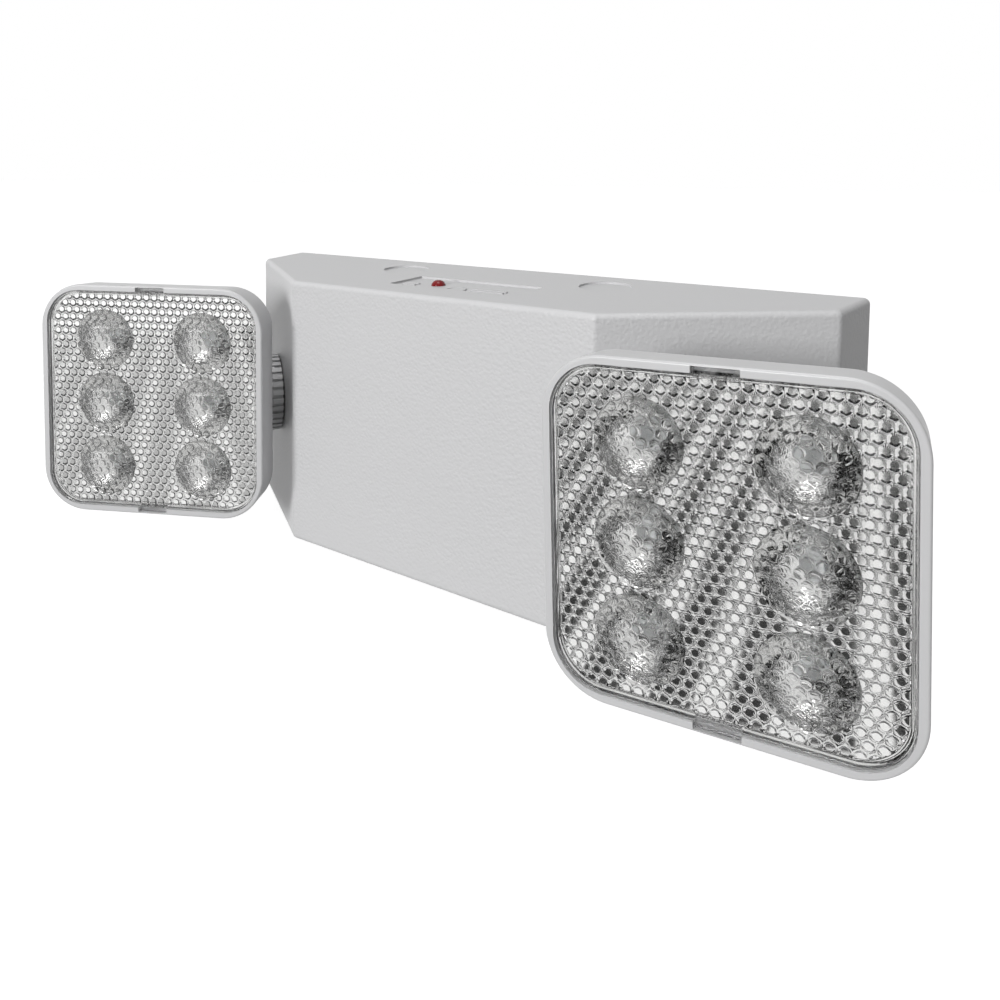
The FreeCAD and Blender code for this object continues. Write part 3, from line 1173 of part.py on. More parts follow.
def lamp_housing(name, side):
    """The square shell with its lens seat, pivot ears and screw bosses."""
    body = new_body(name + "_lamp_housing", frame=head_frame(name, side))
    block = sketch_on(body, "XZ_Plane")
    round_rect(block, "dim.head_size", "dim.head_size", "dim.head_corner")
    pad(body, block, "dim.head_depth", back=True, TaperAngle="-dim.head_taper * 1 deg")
    soften(body, "dim.head_back_round", lambda edge: near(middle(edge).y, size("head_depth")))
    soften(body, "dim.head_front_round", lambda edge: near(middle(edge).y, 0))
    for up in (-1, 1):
        low = "dim.ear_inside - dim.head_rise"
        if up < 0:
            low = "-dim.ear_inside - dim.ear_thickness - dim.head_rise"
        root = sketch_on(body, "XY_Plane", z=low)
        outline(root, [("-dim.ear_base_width / 2", "calc.cavity + dim.head_wall / 2"),
                       ("dim.ear_base_width / 2", "calc.cavity + dim.head_wall / 2"),
                       ("dim.ear_radius", "dim.pivot_setback"), ("-dim.ear_radius", "dim.pivot_setback")])
        pad(body, root, "dim.ear_thickness")
        tip = sketch_on(body, "XY_Plane", z=low)
        ring(tip, "dim.ear_radius", "0", "dim.pivot_setback")
        pad(body, tip, "dim.ear_thickness")
    bosses = sketch_on(body, "XZ_Plane", z="-(calc.cavity + dim.head_wall / 2)")
    for up in (-1, 1):
        ring(bosses, "dim.head_post_radius", "0", "(%d) * dim.head_screw_span / 2" % up)
    pad(body, bosses, "dim.head_wall / 2 + dim.head_post_height", back=True)
    mouth = sketch_on(body, "XZ_Plane")
    round_rect(mouth, "dim.lens_size + 2 * dim.lens_gap", "dim.lens_size + 2 * dim.lens_gap",
               "dim.lens_corner + dim.lens_gap")
    pocket(body, mouth, "calc.shelf")
    for up in (-1, 1):
        notch = sketch_on(body, "XZ_Plane")
        rect(notch, "dim.tab_width + 2 * dim.lens_gap", "dim.tab_reach + 2 * dim.lens_gap", "0",
             "(%d) * (dim.lens_size + dim.tab_reach) / 2" % up)
        pocket(body, notch, "calc.shelf")
    cavity = sketch_on(body, "XZ_Plane")
    round_rect(cavity, "dim.lens_size - 2 * dim.lens_shelf", "dim.lens_size - 2 * dim.lens_shelf",
               "dim.lens_corner - dim.lens_shelf")
    pocket(body, cavity, "calc.cavity")
    pilots = sketch_on(body, "XZ_Plane", z="-calc.cavity")
    for up in (-1, 1):
        ring(pilots, "dim.screw_shank + dim.screw_gap", "0", "(%d) * dim.head_screw_span / 2" % up)
    pocket(body, pilots, "dim.head_screw_length - dim.led_board_thickness + dim.screw_gap")
    cable = sketch_on(body, "XZ_Plane", z="-calc.cavity")
    ring(cable, "dim.cable_hole", "dim.cable_hole_x", "-dim.head_rise")
    pocket(body, cable, "2 * dim.head_wall")
    pivot = sketch_on(body, "XY_Plane")
    ring(pivot, "dim.pin_radius + dim.screw_gap", "0", "dim.pivot_setback")
    pocket(body, pivot, "4 * (dim.ear_inside + dim.ear_thickness) + 2 * dim.head_rise", both=True)
    return body


def bowl_spots():
    """Centres of the reflector bowls, across and up from the middle of a lamp head."""
    return [("(%d) * dim.bowl_pitch_x / 2" % (2 * column + 1 - BOWL_COLUMNS),
             "(%d) * dim.bowl_pitch_z / 2 - dim.bowl_drop" % (2 * row + 1 - BOWL_ROWS))
            for column in range(BOWL_COLUMNS) for row in range(BOWL_ROWS)]


def bowed_arc(sketch, start, stop, bulge):
    """An arc between two points that bows out by some height, each end two formulas."""
    chord = "((%s - (%s))^2 + (%s - (%s))^2)" % (start[0], stop[0], start[1], stop[1])
    radius = "(%s / 4 + (%s)^2) / (2 * %s)" % (chord, bulge, bulge)
    a, b = (V(number(x), number(y), 0) for x, y in (start, stop))
    across = (b - a).normalize()
    apex = (a + b) / 2 + V(-across.y, across.x, 0) * number(bulge)
    index = sketch.addGeometry(Part.Arc(a, apex, b), False)
    to_first, to_second = [(sketch.getPoint(index, end) - a).Length for end in (1, 2)]
    ends = (1, 2) if to_first < to_second else (2, 1)
    pin_point(sketch, index, ends[0], *start)
    pin_point(sketch, index, ends[1], *stop)
    hold_size(sketch, "Radius", index, radius)
    return index, ends


def reflector(name, side):
    """The bright tray with a bowl for each light."""
    body = new_body(name + "_reflector", frame=head_frame(name, side))
    side = "dim.lens_size - 2 * dim.lens_shelf - 2 * dim.reflector_gap"
    sheet = sketch_on(body, "XZ_Plane", z="-calc.shelf")
    round_rect(sheet, side, side, "dim.lens_corner - dim.lens_shelf - dim.reflector_gap")
    for x, z in bowl_spots():
        ring(sheet, "dim.bowl_radius", x, z)
    pad(body, sheet, "dim.reflector_plate", back=True)
    for x, z in bowl_spots():
        wall = sketch_on(body, "XY_Plane", x=x, z=z)
        inner = (("dim.bowl_throat", "calc.led_board_front"), ("dim.bowl_radius", "calc.shelf"))
        outer = (("dim.bowl_throat + dim.bowl_wall", "calc.led_board_front"),
                 ("dim.bowl_radius + dim.bowl_wall", "calc.shelf"))
        near_arc, near_ends = bowed_arc(wall, *reversed(inner), "dim.bowl_bulge")
        far_arc, far_ends = bowed_arc(wall, *reversed(outer), "dim.bowl_bulge")
        for end in (0, 1):
            spots = [wall.getPoint(near_arc, near_ends[end]), wall.getPoint(far_arc, far_ends[end])]
            line = wall.addGeometry(Part.LineSegment(*spots), False)
            wall.addConstraint(Sketcher.Constraint("Coincident", line, 1, near_arc, near_ends[end]))
            wall.addConstraint(Sketcher.Constraint("Coincident", line, 2, far_arc, far_ends[end]))
        spun(body, wall, "V_Axis")
    return body


def lens(name, side):
    """The clear cover, with a snap tab at the top and the bottom."""
    body = new_body(name + "_lens", frame=head_frame(name, side))
    sheet = sketch_on(body, "XZ_Plane", z="-dim.lens_sink")
    round_rect(sheet, "dim.lens_size", "dim.lens_size", "dim.lens_corner")
    pad(body, sheet, "dim.lens_thickness", back=True)
    for up in (-1, 1):
        tab = sketch_on(body, "XZ_Plane", z="-dim.lens_sink")
        rect(tab, "dim.tab_width", "2 * dim.tab_reach", "0", "(%d) * dim.lens_size / 2" % up)
        pad(body, tab, "dim.lens_thickness", back=True)
    return body


def light_board(name, side):
    """The board that carries the lights, against the back of the lamp head."""
    body = new_body(name + "_light_board", frame=head_frame(name, side))
    sheet = sketch_on(body, "XZ_Plane", z="-calc.led_board_front")
    round_rect(sheet, "dim.led_board_size", "dim.led_board_size", "dim.lens_corner / 2")
    for up in (-1, 1):
        ring(sheet, "dim.screw_shank + dim.screw_gap", "0", "(%d) * dim.head_screw_span / 2" % up)
    pad(body, sheet, "dim.led_board_thickness", back=True)
    return body


def lights(name, side):
    """The small lights, each a square base with a clear dome."""
    pieces = []
    for x, z in bowl_spots():
        base = box("light_base", "dim.led_side", "dim.led_base", "dim.led_side", x=x,
                   y="calc.led_board_front - dim.led_base", z=z)
        dome = doc.addObject("Part::Sphere", "light_dome")
        dome.Angle1 = 0
        dome.Placement = FreeCAD.Placement(V(), FreeCAD.Rotation(V(1, 0, 0), 90))
        bind(dome, {"Radius": "dim.led_dome", "Placement.Base.x": x, "Placement.Base.z": z,
                    "Placement.Base.y": "calc.led_board_front - dim.led_base"})
        pieces.append(join("light", [base, dome]))
    return place(group(name + "_lights", pieces), frame=head_frame(name, side))


def light_board_screws(name, side):
    """The two screws that hold the light board."""
    pieces = [screw("light_board_screw", {"y": "calc.led_board_front", "turn": "90 deg", "axis": V(1, 0, 0),
                                          "z": "(%d) * dim.head_screw_span / 2" % up},
                    "dim.head_screw_length - dim.screw_length") for up in (-1, 1)]
    return place(group(name + "_light_board_screws", pieces), frame=head_frame(name, side))


def tilt_pin(name, side):
    """The pin through ears and barrel, with its head on top."""
    low = "-(dim.ear_inside + dim.ear_thickness + dim.pin_nut_height + dim.pin_radius / 2) - dim.head_rise"
    top = "dim.ear_inside + dim.ear_thickness - dim.head_rise"
    shank = rod("pin_shank", "dim.pin_radius", "%s - (%s)" % (top, low), y="dim.pivot_setback", z=low)
    head = rod("pin_head", "dim.pin_head_radius", "dim.pin_head_height", y="dim.pivot_setback", z=top)
    return place(join(name + "_tilt_pin", [shank, head]), frame=head_frame(name, side))


def tilt_nut(name, side):
    """The nut under the lower ear."""
    body = new_body(name + "_tilt_nut", frame=head_frame(name, side))
    sketch = sketch_on(body, "XY_Plane", z="-(dim.ear_inside + dim.ear_thickness) - dim.head_rise")
    hexagon(sketch, "dim.pin_nut_across", "0", "dim.pivot_setback")
    ring(sketch, "dim.pin_radius + dim.screw_gap", "0", "dim.pivot_setback")
    pad(body, sketch, "dim.pin_nut_height", back=True)
    return body


# Leads held inside the case: the spots that each one passes between its two ends, as x, y and z.

BEND_SHARE = 0.45
VOLUME_SLACK = 0.01
BATTERY_ROUTE = [(-34, -22, 3), (-16, -31, 1), (8, -34, -2), (30, -37, -2)]
LEFT_ROUTE = [(42, -51, 3), (10, -54, 4), (-30, -52, 3), (-66, -45, 1)]
SWITCH_ROUTE = [(34, -43, 18), (58, -41, 8)]
TRANSFORMER_ROUTE = [(-58, -25, 1), (-40, -31, 4), (-16, -34, 9), (12, -33, 13)]


def lead(label, spots):
    """A round lead along straight runs joined by arcs as large as the runs allow."""
    radius = size("lead_radius")
    spots = [V(*spot) for spot in spots]
    edges = []
    start = spots[0]
    for i in range(1, len(spots) - 1):
        before, after = spots[i] - spots[i - 1], spots[i + 1] - spots[i]
        shorter = min(before.Length, after.Length)
        turn = before.getAngle(after)
        bend = BEND_SHARE * shorter
        a = spots[i] - before.normalize() * bend
        b = spots[i] + after.normalize() * bend
        arc_radius = bend / math.tan(turn / 2)
        inward = (a + b) / 2 - spots[i]
        centre = spots[i] + inward.normalize() * (arc_radius / math.cos(turn / 2))
        apex = centre + (spots[i] - centre).normalize() * arc_radius
        print("%s bend %.1f mm, run %.1f mm" % (label, arc_radius, shorter))
        edges.append(Part.LineSegment(start, a).toShape())
        edges.append(Part.Arc(a, apex, b).toShape())
        start = b
    edges.append(Part.LineSegment(start, spots[-1]).toShape())
    path = Part.Wire(edges)
    end = Part.Wire([Part.Circle(spots[0], spots[1] - spots[0], radius).toShape()])
    solid = path.makePipeShell([end], True, False)
    expected = math.pi * radius ** 2 * path.Length
    if abs(solid.Volume - expected) > VOLUME_SLACK * expected:
        raise RuntimeError("%s has %.1f of %.1f mm3" % (label, solid.Volume, expected))
    item = doc.addObject("Part::Feature", label)
    item.Label = label
    item.Shape = solid
    return item


def on_axis(side, reach):
    """A spot on a swivel axis, that far out from the slanted face."""
    x = number("(%d) * (calc.foot_x + (%s) * sin(calc.slant))" % (side, reach))
    return x, -number("calc.foot_depth + (%s) * cos(calc.slant)" % reach), size("swivel_height")


def under_top(x, depth, drop):
    """A spot square below the sloping top."""
    frame = top_frame(x, depth, drop)
    return tuple(number(frame[name]) for name in "xyz")


def plug_end(i):
    """The middle of a lead plug's front."""
    return number("calc.board_x + " + socket_spot(i)), -size("plug_front"), size("socket_z")


def moved(spot, y=0.0, z=0.0):
    """A spot, moved."""
    return spot[0], spot[1] + y, spot[2] + z


def leads():
    """Battery, lamp, switch and transformer leads, each along its own route."""
    battery, left, switch, right = (plug_end(i) for i in range(SOCKETS))
    out = size("lead_out")
    pack_top = (size("pack_x") + size("pack_half") - size("cell_radius"), -size("pack_depth"),
                size("pack_z") + size("cell_length") / 2)
    under_board = "dim.switch_board_drop + dim.board_thickness"
    switch_run = [under_top("dim.switch_lead_x", "calc.switch_board_depth", drop)
                  for drop in (under_board, under_board + " + dim.lead_out")]
    coil_low = (size("core_x") + size("coil_bulge") / 2, -(size("plate_thickness") + size("core_depth") / 2),
                size("core_z") - size("core_stack") / 2 - size("coil_bulge"))
    board_spot = (size("board_x") - size("board_width") / 2 + out, -size("board_front"), size("board_lead_z"))
    stem_in = "-dim.stem_length - dim.lead_out / 2"
    return [
        lead("battery_lead", [pack_top, moved(pack_top, z=out / 2)] + BATTERY_ROUTE
             + [moved(battery, y=-out), battery]),
        lead("left_lamp_lead", [left, moved(left, y=-out)] + LEFT_ROUTE
             + [on_axis(-1, stem_in), on_axis(-1, "dim.lead_reach")]),
        lead("right_lamp_lead", [right, moved(right, y=-out / 2), on_axis(1, stem_in),
                                 on_axis(1, "dim.lead_reach")]),
        lead("switch_lead", switch_run + SWITCH_ROUTE + [moved(switch, y=-out), switch]),
        lead("transformer_lead", [coil_low, moved(coil_low, z=-out / 2)] + TRANSFORMER_ROUTE
             + [moved(board_spot, y=-out), board_spot]),
    ]


def whole_light():
    """Every piece of the light, in the order of its bench strip-down."""
    pieces = [front_housing(), back_plate(), plate_screws(), battery_pack(),
              bridge("battery_strap", "calc.pack_x", "calc.pack_z", "calc.strap_half",
                     "calc.strap_back", "dim.strap_thickness",
                     "dim.strap_foot", "dim.strap_width"),
              transformer_core(), transformer_coil(),
              bridge("transformer_bracket", "calc.core_x", "calc.core_z", "dim.core_width / 2",
                     "dim.plate_thickness + dim.core_depth", "dim.bracket_sheet", "dim.bracket_foot",
                     "dim.core_stack"),
              charger_board(), on_board("transfer_relay", "dim.relay_width", "dim.relay_depth",
                                        "dim.relay_height", "dim.relay_x", "calc.relay_z"),
              capacitors(), heat_sink(), terminal_block(), lead_sockets(), lead_plugs(),
              charge_indicator(), test_button(), test_switch(), switch_plunger(), switch_board(),
              switch_board_screws(), indicator_led()]
    for name, side in SIDES:
        pieces += [swivel_knuckle(name, side), friction_washer(name, side), spring_washer(name, side),
                   retaining_nut(name, side)]
        pieces += [lamp_housing(name, side), reflector(name, side), lens(name, side),
                   light_board(name, side), lights(name, side), light_board_screws(name, side),
                   tilt_pin(name, side), tilt_nut(name, side)]
    return pieces + leads()


def check_and_write(pieces):
    """Stop at anything failed, then write each piece to its own file."""
    doc.recompute()
    for item in doc.Objects:
        if {"Invalid", "Error"} & set(item.State):
            raise RuntimeError("%s did not build: %s" % (item.Label, item.State))
    for item in pieces:
        if item.Shape.isNull() or not item.Shape.isValid() or not item.Shape.Solids:
            raise RuntimeError("%s has no sound shape" % item.Label)
    os.makedirs("parts", exist_ok=True)
    for item in pieces:
        item.Shape.exportStep("parts/%s.step" % item.Label)
        print("%s: %d solid, %.0f mm3" % (item.Label, len(item.Shape.Solids), item.Shape.Volume))


check_and_write(whole_light())
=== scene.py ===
"""Looks of a wall-hung emergency light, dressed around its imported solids.

The case, the knuckles and everything inside keep the shapes of the solids. The lenses are made here with
their field of small domes, and the reflectors behind them with smooth bowls. Lengths are in metres, in the
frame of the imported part.
"""

import json
import logging
import math
from dataclasses import dataclass
from enum import Enum

import bmesh
import bpy
from mathutils import Matrix, Vector


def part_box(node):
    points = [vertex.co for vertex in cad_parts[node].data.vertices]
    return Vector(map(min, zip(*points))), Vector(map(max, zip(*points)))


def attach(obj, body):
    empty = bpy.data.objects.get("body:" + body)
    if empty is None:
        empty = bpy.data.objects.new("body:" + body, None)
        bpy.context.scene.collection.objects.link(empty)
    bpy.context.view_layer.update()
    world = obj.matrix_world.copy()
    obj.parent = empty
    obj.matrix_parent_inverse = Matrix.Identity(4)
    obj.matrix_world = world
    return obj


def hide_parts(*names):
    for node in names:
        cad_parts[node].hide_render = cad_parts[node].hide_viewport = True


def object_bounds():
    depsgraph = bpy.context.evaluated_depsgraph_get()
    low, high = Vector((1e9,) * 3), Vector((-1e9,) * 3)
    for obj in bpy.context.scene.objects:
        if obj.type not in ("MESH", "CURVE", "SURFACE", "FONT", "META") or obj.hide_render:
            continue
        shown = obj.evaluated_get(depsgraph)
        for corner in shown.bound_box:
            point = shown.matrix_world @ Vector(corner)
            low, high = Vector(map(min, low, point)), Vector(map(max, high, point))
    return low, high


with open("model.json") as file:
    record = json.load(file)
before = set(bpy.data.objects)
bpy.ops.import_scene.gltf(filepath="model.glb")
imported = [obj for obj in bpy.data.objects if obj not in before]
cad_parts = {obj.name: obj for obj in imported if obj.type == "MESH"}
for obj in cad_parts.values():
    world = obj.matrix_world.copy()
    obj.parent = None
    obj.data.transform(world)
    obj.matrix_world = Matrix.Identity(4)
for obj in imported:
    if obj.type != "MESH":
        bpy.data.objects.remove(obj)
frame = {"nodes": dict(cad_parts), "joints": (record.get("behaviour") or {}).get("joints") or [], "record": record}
SOLID_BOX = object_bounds()

LOG = logging.getLogger("emergency_light")
MM = 0.001
# Points nearer than this are one point.
SAME_POINT = 0.001 * MM
# Shapes that meet within this are joined, and a depth within it counts as the same.
CLOSE = 0.01 * MM
# The light or colour of a plain white sheet.
WHITE = (1, 1, 1, 1)
# Taken off a noise colour, so that it moves points either way.
NOISE_MIDDLE = (0.5, 0.5, 0.5)
# A wave texture at a scale of 1 repeats after this length.
WAVE_REPEAT = 0.314


class Side(Enum):
    """The two sides of the case that carry a lamp head."""

    LEFT = "left"
    RIGHT = "right"


class Tree:
    """The nodes of one material or world, with short ways to add and join them."""

    def __init__(self, owner: bpy.types.ID, output: str = "ShaderNodeOutputMaterial") -> None:
        """Start an empty tree.

        Args:
            owner: the material or world that the nodes belong to.
            output: the kind of its output node.
        """
        owner.use_nodes = True
        self.owner = owner
        self.nodes = owner.node_tree.nodes
        self.links = owner.node_tree.links
        self.nodes.clear()
        self.output = self.add(output)

    def add(self, kind: str, links: dict | None = None, **settings: str | bool) -> bpy.types.Node:
        """Add a node with its settings and links.

        Args:
            kind: the node's type.
            links: input name or index to a value or to the socket that feeds it.
            **settings: properties of the node itself.

        Returns:
            The new node.
        """
        node = self.nodes.new(kind)
        for key, value in settings.items():
            setattr(node, key, value)
        for key, value in (links or {}).items():
            if isinstance(value, bpy.types.NodeSocket):
                self.links.new(value, node.inputs[key])
            else:
                node.inputs[key].default_value = value
        return node

    def seen(self) -> bpy.types.NodeSocket:
        """Tell what the camera, metal and glass see from what only lights the object.

        Returns:
            A socket that is 1 for camera, glossy and transmission rays and 0 for the others.
        """
        path = self.add("ShaderNodeLightPath").outputs
        direct = self.add("ShaderNodeMath", {0: path["Is Camera Ray"], 1: path["Is Glossy Ray"]},
                          operation="ADD")
        through = self.add("ShaderNodeMath", {0: direct.outputs[0], 1: path["Is Transmission Ray"]},
                           operation="ADD", use_clamp=True)
        return through.outputs[0]

    def finish(self, shader: bpy.types.NodeSocket) -> bpy.types.ID:
        """Join the last shader to the output.

        Args:
            shader: the shader's output socket.

        Returns:
            The finished material or world.
        """
        self.links.new(shader, self.output.inputs["Surface"])
        return self.owner


def linear(colour: str) -> tuple[float, float, float, float]:
    """Turn an sRGB hex value to the linear colour of a shader.

    Args:
        colour: six hex digits, such as "c8c9ca".

    Returns:
        Red, green and blue from 0 to 1, and an alpha of 1.
    """
    # The sRGB curve: a straight line near black, and above it a power of 2.4.
    parts = [int(colour[i:i + 2], 16) / 255 for i in (0, 2, 4)]
    red, green, blue = (p / 12.92 if p <= 0.04045 else ((p + 0.055) / 1.055) ** 2.4 for p in parts)
    return red, green, blue, 1.0


@dataclass(frozen=True)
class GrainedPlastic:
    """Moulded ABS with an etched leather grain: matt, with soft small pits that break up its gloss.

    The grain is bent by a fine noise so that its cells are uneven, and it is shallower on faces that look up
    or down. Sizes are in millimetres.
    """

    name: str
    colour: str
    roughness: float = 0.46
    ior: float = 1.53
    gloss: float = 0.4
    grain: float = 1.15
    depth: float = 0.15
    warp_size: float = 10 / 9
    warp_reach: float = 0.7
    warp_detail: float = 2.0
    side_level: float = 0.4
    top_level: float = 0.9
    top_share: float = 0.35

    def material(self) -> bpy.types.Material:
        """Build the material.

        Returns:
            The new material.
        """
        tree = Tree(bpy.data.materials.new(self.name))
        place = tree.add("ShaderNodeTexCoord").outputs["Object"]
        warp = tree.add("ShaderNodeTexNoise", {"Vector": place, "Scale": 1 / (self.warp_size * MM),
                                               "Detail": self.warp_detail})
        moved = tree.add("ShaderNodeVectorMath", {0: warp.outputs["Color"], 1: NOISE_MIDDLE},
                         operation="SUBTRACT")
        small = tree.add("ShaderNodeVectorMath", {0: moved.outputs[0], "Scale": self.warp_reach * MM},
                         operation="SCALE")
        spot = tree.add("ShaderNodeVectorMath", {0: place, 1: small.outputs[0]}, operation="ADD")
        cells = tree.add("ShaderNodeTexVoronoi", {"Vector": spot.outputs[0], "Scale": 1 / (self.grain * MM)},
                         feature="SMOOTH_F1")
        facing = tree.add("ShaderNodeNewGeometry")
        upward = tree.add("ShaderNodeSeparateXYZ", {0: facing.outputs["True Normal"]})
        level = tree.add("ShaderNodeMath", {0: upward.outputs["Z"]}, operation="ABSOLUTE")
        share = tree.add("ShaderNodeMapRange", {"Value": level.outputs[0], "From Min": self.side_level,
                                                "From Max": self.top_level, "To Min": 1.0,
                                                "To Max": self.top_share})
        bump = tree.add("ShaderNodeBump", {"Height": cells.outputs["Distance"], "Strength": share.outputs[0],
                                           "Distance": self.depth * MM})
        shader = tree.add("ShaderNodeBsdfPrincipled", {
            "Base Color": linear(self.colour), "Roughness": self.roughness, "IOR": self.ior,
            "Specular IOR Level": self.gloss, "Normal": bump.outputs[0]})
        return tree.finish(shader.outputs[0])


@dataclass(frozen=True)
class PlainPlastic:
    """Moulded or extruded plastic with an even surface, from matt nylon to glossy heat-shrunk wrap.

    The size and depth of its faint unevenness are in millimetres.
    """

    name: str
    colour: str
    roughness: float = 0.4
    ior: float = 1.5
    texture: float = 0.5
    depth: float = 0.01
    detail: float = 3.0

    def material(self) -> bpy.types.Material:
        """Build the material.

        Returns:
            The new material.
        """
        tree = Tree(bpy.data.materials.new(self.name))
        place = tree.add("ShaderNodeTexCoord")
        noise = tree.add("ShaderNodeTexNoise", {"Vector": place.outputs["Object"],
                                                "Scale": 1 / (self.texture * MM), "Detail": self.detail})
        bump = tree.add("ShaderNodeBump", {"Height": noise.outputs[0], "Strength": 1.0,
                                           "Distance": self.depth * MM})
        shader = tree.add("ShaderNodeBsdfPrincipled", {
            "Base Color": linear(self.colour), "Roughness": self.roughness, "IOR": self.ior,
            "Normal": bump.outputs[0]})
        return tree.finish(shader.outputs[0])


@dataclass(frozen=True)
class Metal:
    """Bare or plated metal: zinc on screws, extruded aluminium, or the bright coat of a reflector.

    The size and depth of its grain are in millimetres.
    """

    name: str
    colour: str
    roughness: float = 0.3
    grain: float = 0.4
    depth: float = 0.004
    detail: float = 2.0

    def material(self) -> bpy.types.Material:
        """Build the material.

        Returns:
            The new material.
        """
        tree = Tree(bpy.data.materials.new(self.name))
        place = tree.add("ShaderNodeTexCoord")
        noise = tree.add("ShaderNodeTexNoise", {"Vector": place.outputs["Object"],
                                                "Scale": 1 / (self.grain * MM), "Detail": self.detail})
        bump = tree.add("ShaderNodeBump", {"Height": noise.outputs[0], "Strength": 1.0,
                                           "Distance": self.depth * MM})
        shader = tree.add("ShaderNodeBsdfPrincipled", {
            "Base Color": linear(self.colour), "Metallic": 1.0, "Roughness": self.roughness,
            "Normal": bump.outputs[0]})
        return tree.finish(shader.outputs[0])


@dataclass(frozen=True)
class ClearPlastic:
    """Clear moulded plastic that light passes through, such as acrylic."""

    name: str
    colour: str
    roughness: float = 0.02
    ior: float = 1.49

    def material(self) -> bpy.types.Material:
        """Build the material.

        Returns:
            The new material.
        """
        tree = Tree(bpy.data.materials.new(self.name))
        shader = tree.add("ShaderNodeBsdfPrincipled", {
            "Base Color": linear(self.colour), "Roughness": self.roughness, "IOR": self.ior,
            "Transmission Weight": 1.0})
        return tree.finish(shader.outputs[0])


@dataclass(frozen=True)
class TintedPlastic:
    """Deep-tinted moulded plastic, such as a polycarbonate dome: dark, glossy and lit a little within."""

    name: str
    colour: str
    roughness: float = 0.22
    ior: float = 1.585
    gloss: float = 0.2
    clear_share: float = 0.1

    def material(self) -> bpy.types.Material:
        """Build the material.

        Returns:
            The new material.
        """
        tree = Tree(bpy.data.materials.new(self.name))
        shader = tree.add("ShaderNodeBsdfPrincipled", {
            "Base Color": linear(self.colour), "Roughness": self.roughness, "IOR": self.ior,
            "Specular IOR Level": self.gloss, "Transmission Weight": self.clear_share})
        return tree.finish(shader.outputs[0])


@dataclass(frozen=True)
class Layered:
    """Varnished windings or stacked sheets: fine parallel lines across one direction of the piece.

    The pitch and depth of the lines are in millimetres.
    """

    name: str
    colour: str
    dark: str
    line: float
    metallic: float
    roughness: float = 0.45
    depth: float = 0.08
    unevenness: float = 0.6

    def material(self) -> bpy.types.Material:
        """Build the material.

        Returns:
            The new material.
        """
        tree = Tree(bpy.data.materials.new(self.name))
        place = tree.add("ShaderNodeTexCoord")
        wave = tree.add("ShaderNodeTexWave", {"Vector": place.outputs["Object"],
                                              "Distortion": self.unevenness,
                                              "Scale": WAVE_REPEAT / (self.line * MM)}, bands_direction="Z")
        # A colour mix takes its colours at inputs 6 and 7 and gives the result at output 2.
        shade = tree.add("ShaderNodeMix", {"Factor": wave.outputs["Fac"], 6: linear(self.dark),
                                           7: linear(self.colour)}, data_type="RGBA")
        bump = tree.add("ShaderNodeBump", {"Height": wave.outputs["Fac"], "Strength": 1.0,
                                           "Distance": self.depth * MM})
        shader = tree.add("ShaderNodeBsdfPrincipled", {
            "Base Color": shade.outputs[2], "Metallic": self.metallic, "Roughness": self.roughness,
            "Normal": bump.outputs[0]})
        return tree.finish(shader.outputs[0])


FINISHES = {
    # Etched mould: matt light grey with soft pits on the front, calmer on top.
    "case_plastic": GrainedPlastic("grained light grey ABS", "c9c9ca"),
    # Polished mould: a dark red dome with a soft highlight.
    "red_dome": TintedPlastic("tinted red polycarbonate", "7c0a0e"),
    # Plated: pale grey metal with a soft sheen.
    "zinc_steel": Metal("zinc plated steel", "b9bbc0", roughness=0.32),
    # Moulded: near black and half matt.
    "dark_plastic": PlainPlastic("black moulded nylon", "1d1d1f", roughness=0.45),
    # Moulded: milky white with a soft gloss.
    "white_plastic": PlainPlastic("white moulded nylon", "e6e6e2", roughness=0.38),
    # Shrunk on with heat: glossy blue with gentle waves.
    "battery_wrap": PlainPlastic("blue heat-shrunk vinyl", "1c4a8c", 0.25, 1.53, texture=6.0, depth=0.15),
    # Stamped sheets dipped in varnish: dark, with the edge of each sheet as a line.
    "core_iron": Layered("varnished core sheets", "3b3b40", "18181a", line=0.5, metallic=0.6),
    # Wound wire dipped in varnish: copper brown in fine rows.
    "copper_winding": Layered("varnished copper winding", "b5683a", "6b3517", 0.45, 0.8, roughness=0.35),
    # Printed resist on glass laminate: smooth dark green.
    "green_board": PlainPlastic("green solder mask on laminate", "1d5c38", roughness=0.3),
    # Printed resist on glass laminate: smooth white.
    "white_board": PlainPlastic("white solder mask on laminate", "e4e6e6", roughness=0.3),
    # Shrunk on with heat: dark with a soft gloss.
    "can_sleeve": PlainPlastic("dark sleeve of a capacitor", "20202a", roughness=0.3),
    # Extruded: pale metal with a satin sheen.
    "aluminium_fins": Metal("extruded aluminium", "c9cacc", roughness=0.38),
    # Polished mould: colourless, with sharp reflections.
    "clear_plastic": ClearPlastic("clear moulded acrylic", "f8f8f8"),
    # Vacuum-coated moulding: a mirror with slight waves.
    "bright_reflector": Metal("bright metallised coat", "e0e0df", roughness=0.06, grain=3.0, depth=0.006),
    # Extruded over wire: yellow with a soft gloss.
    "lead_sheath": PlainPlastic("yellow vinyl sheath", "c8b53a", roughness=0.35),
}
# The lamp heads and knuckles come from smoother moulds than the case: satin, with hardly any grain.
SATIN_NODES = ("lamp_housing", "swivel_knuckle")
SATIN = PlainPlastic("satin light grey ABS", "c6c6c7", 0.36, 1.53, texture=0.6, depth=0.012)


def new_piece(name: str, mesh: bmesh.types.BMesh, finish: bpy.types.Material) -> bpy.types.Object:
    """Turn a finished bmesh into an object of the scene, at the origin.

    Args:
        name: what the piece is called.
        mesh: its shape, already in place.
        finish: its material.

    Returns:
        The new object.
    """
    data = bpy.data.meshes.new(name)
    mesh.to_mesh(data)
    mesh.free()
    data.materials.append(finish)
    piece = bpy.data.objects.new(name, data)
    bpy.context.scene.collection.objects.link(piece)
    LOG.info("%s: %d faces", name, len(data.polygons))
    return piece


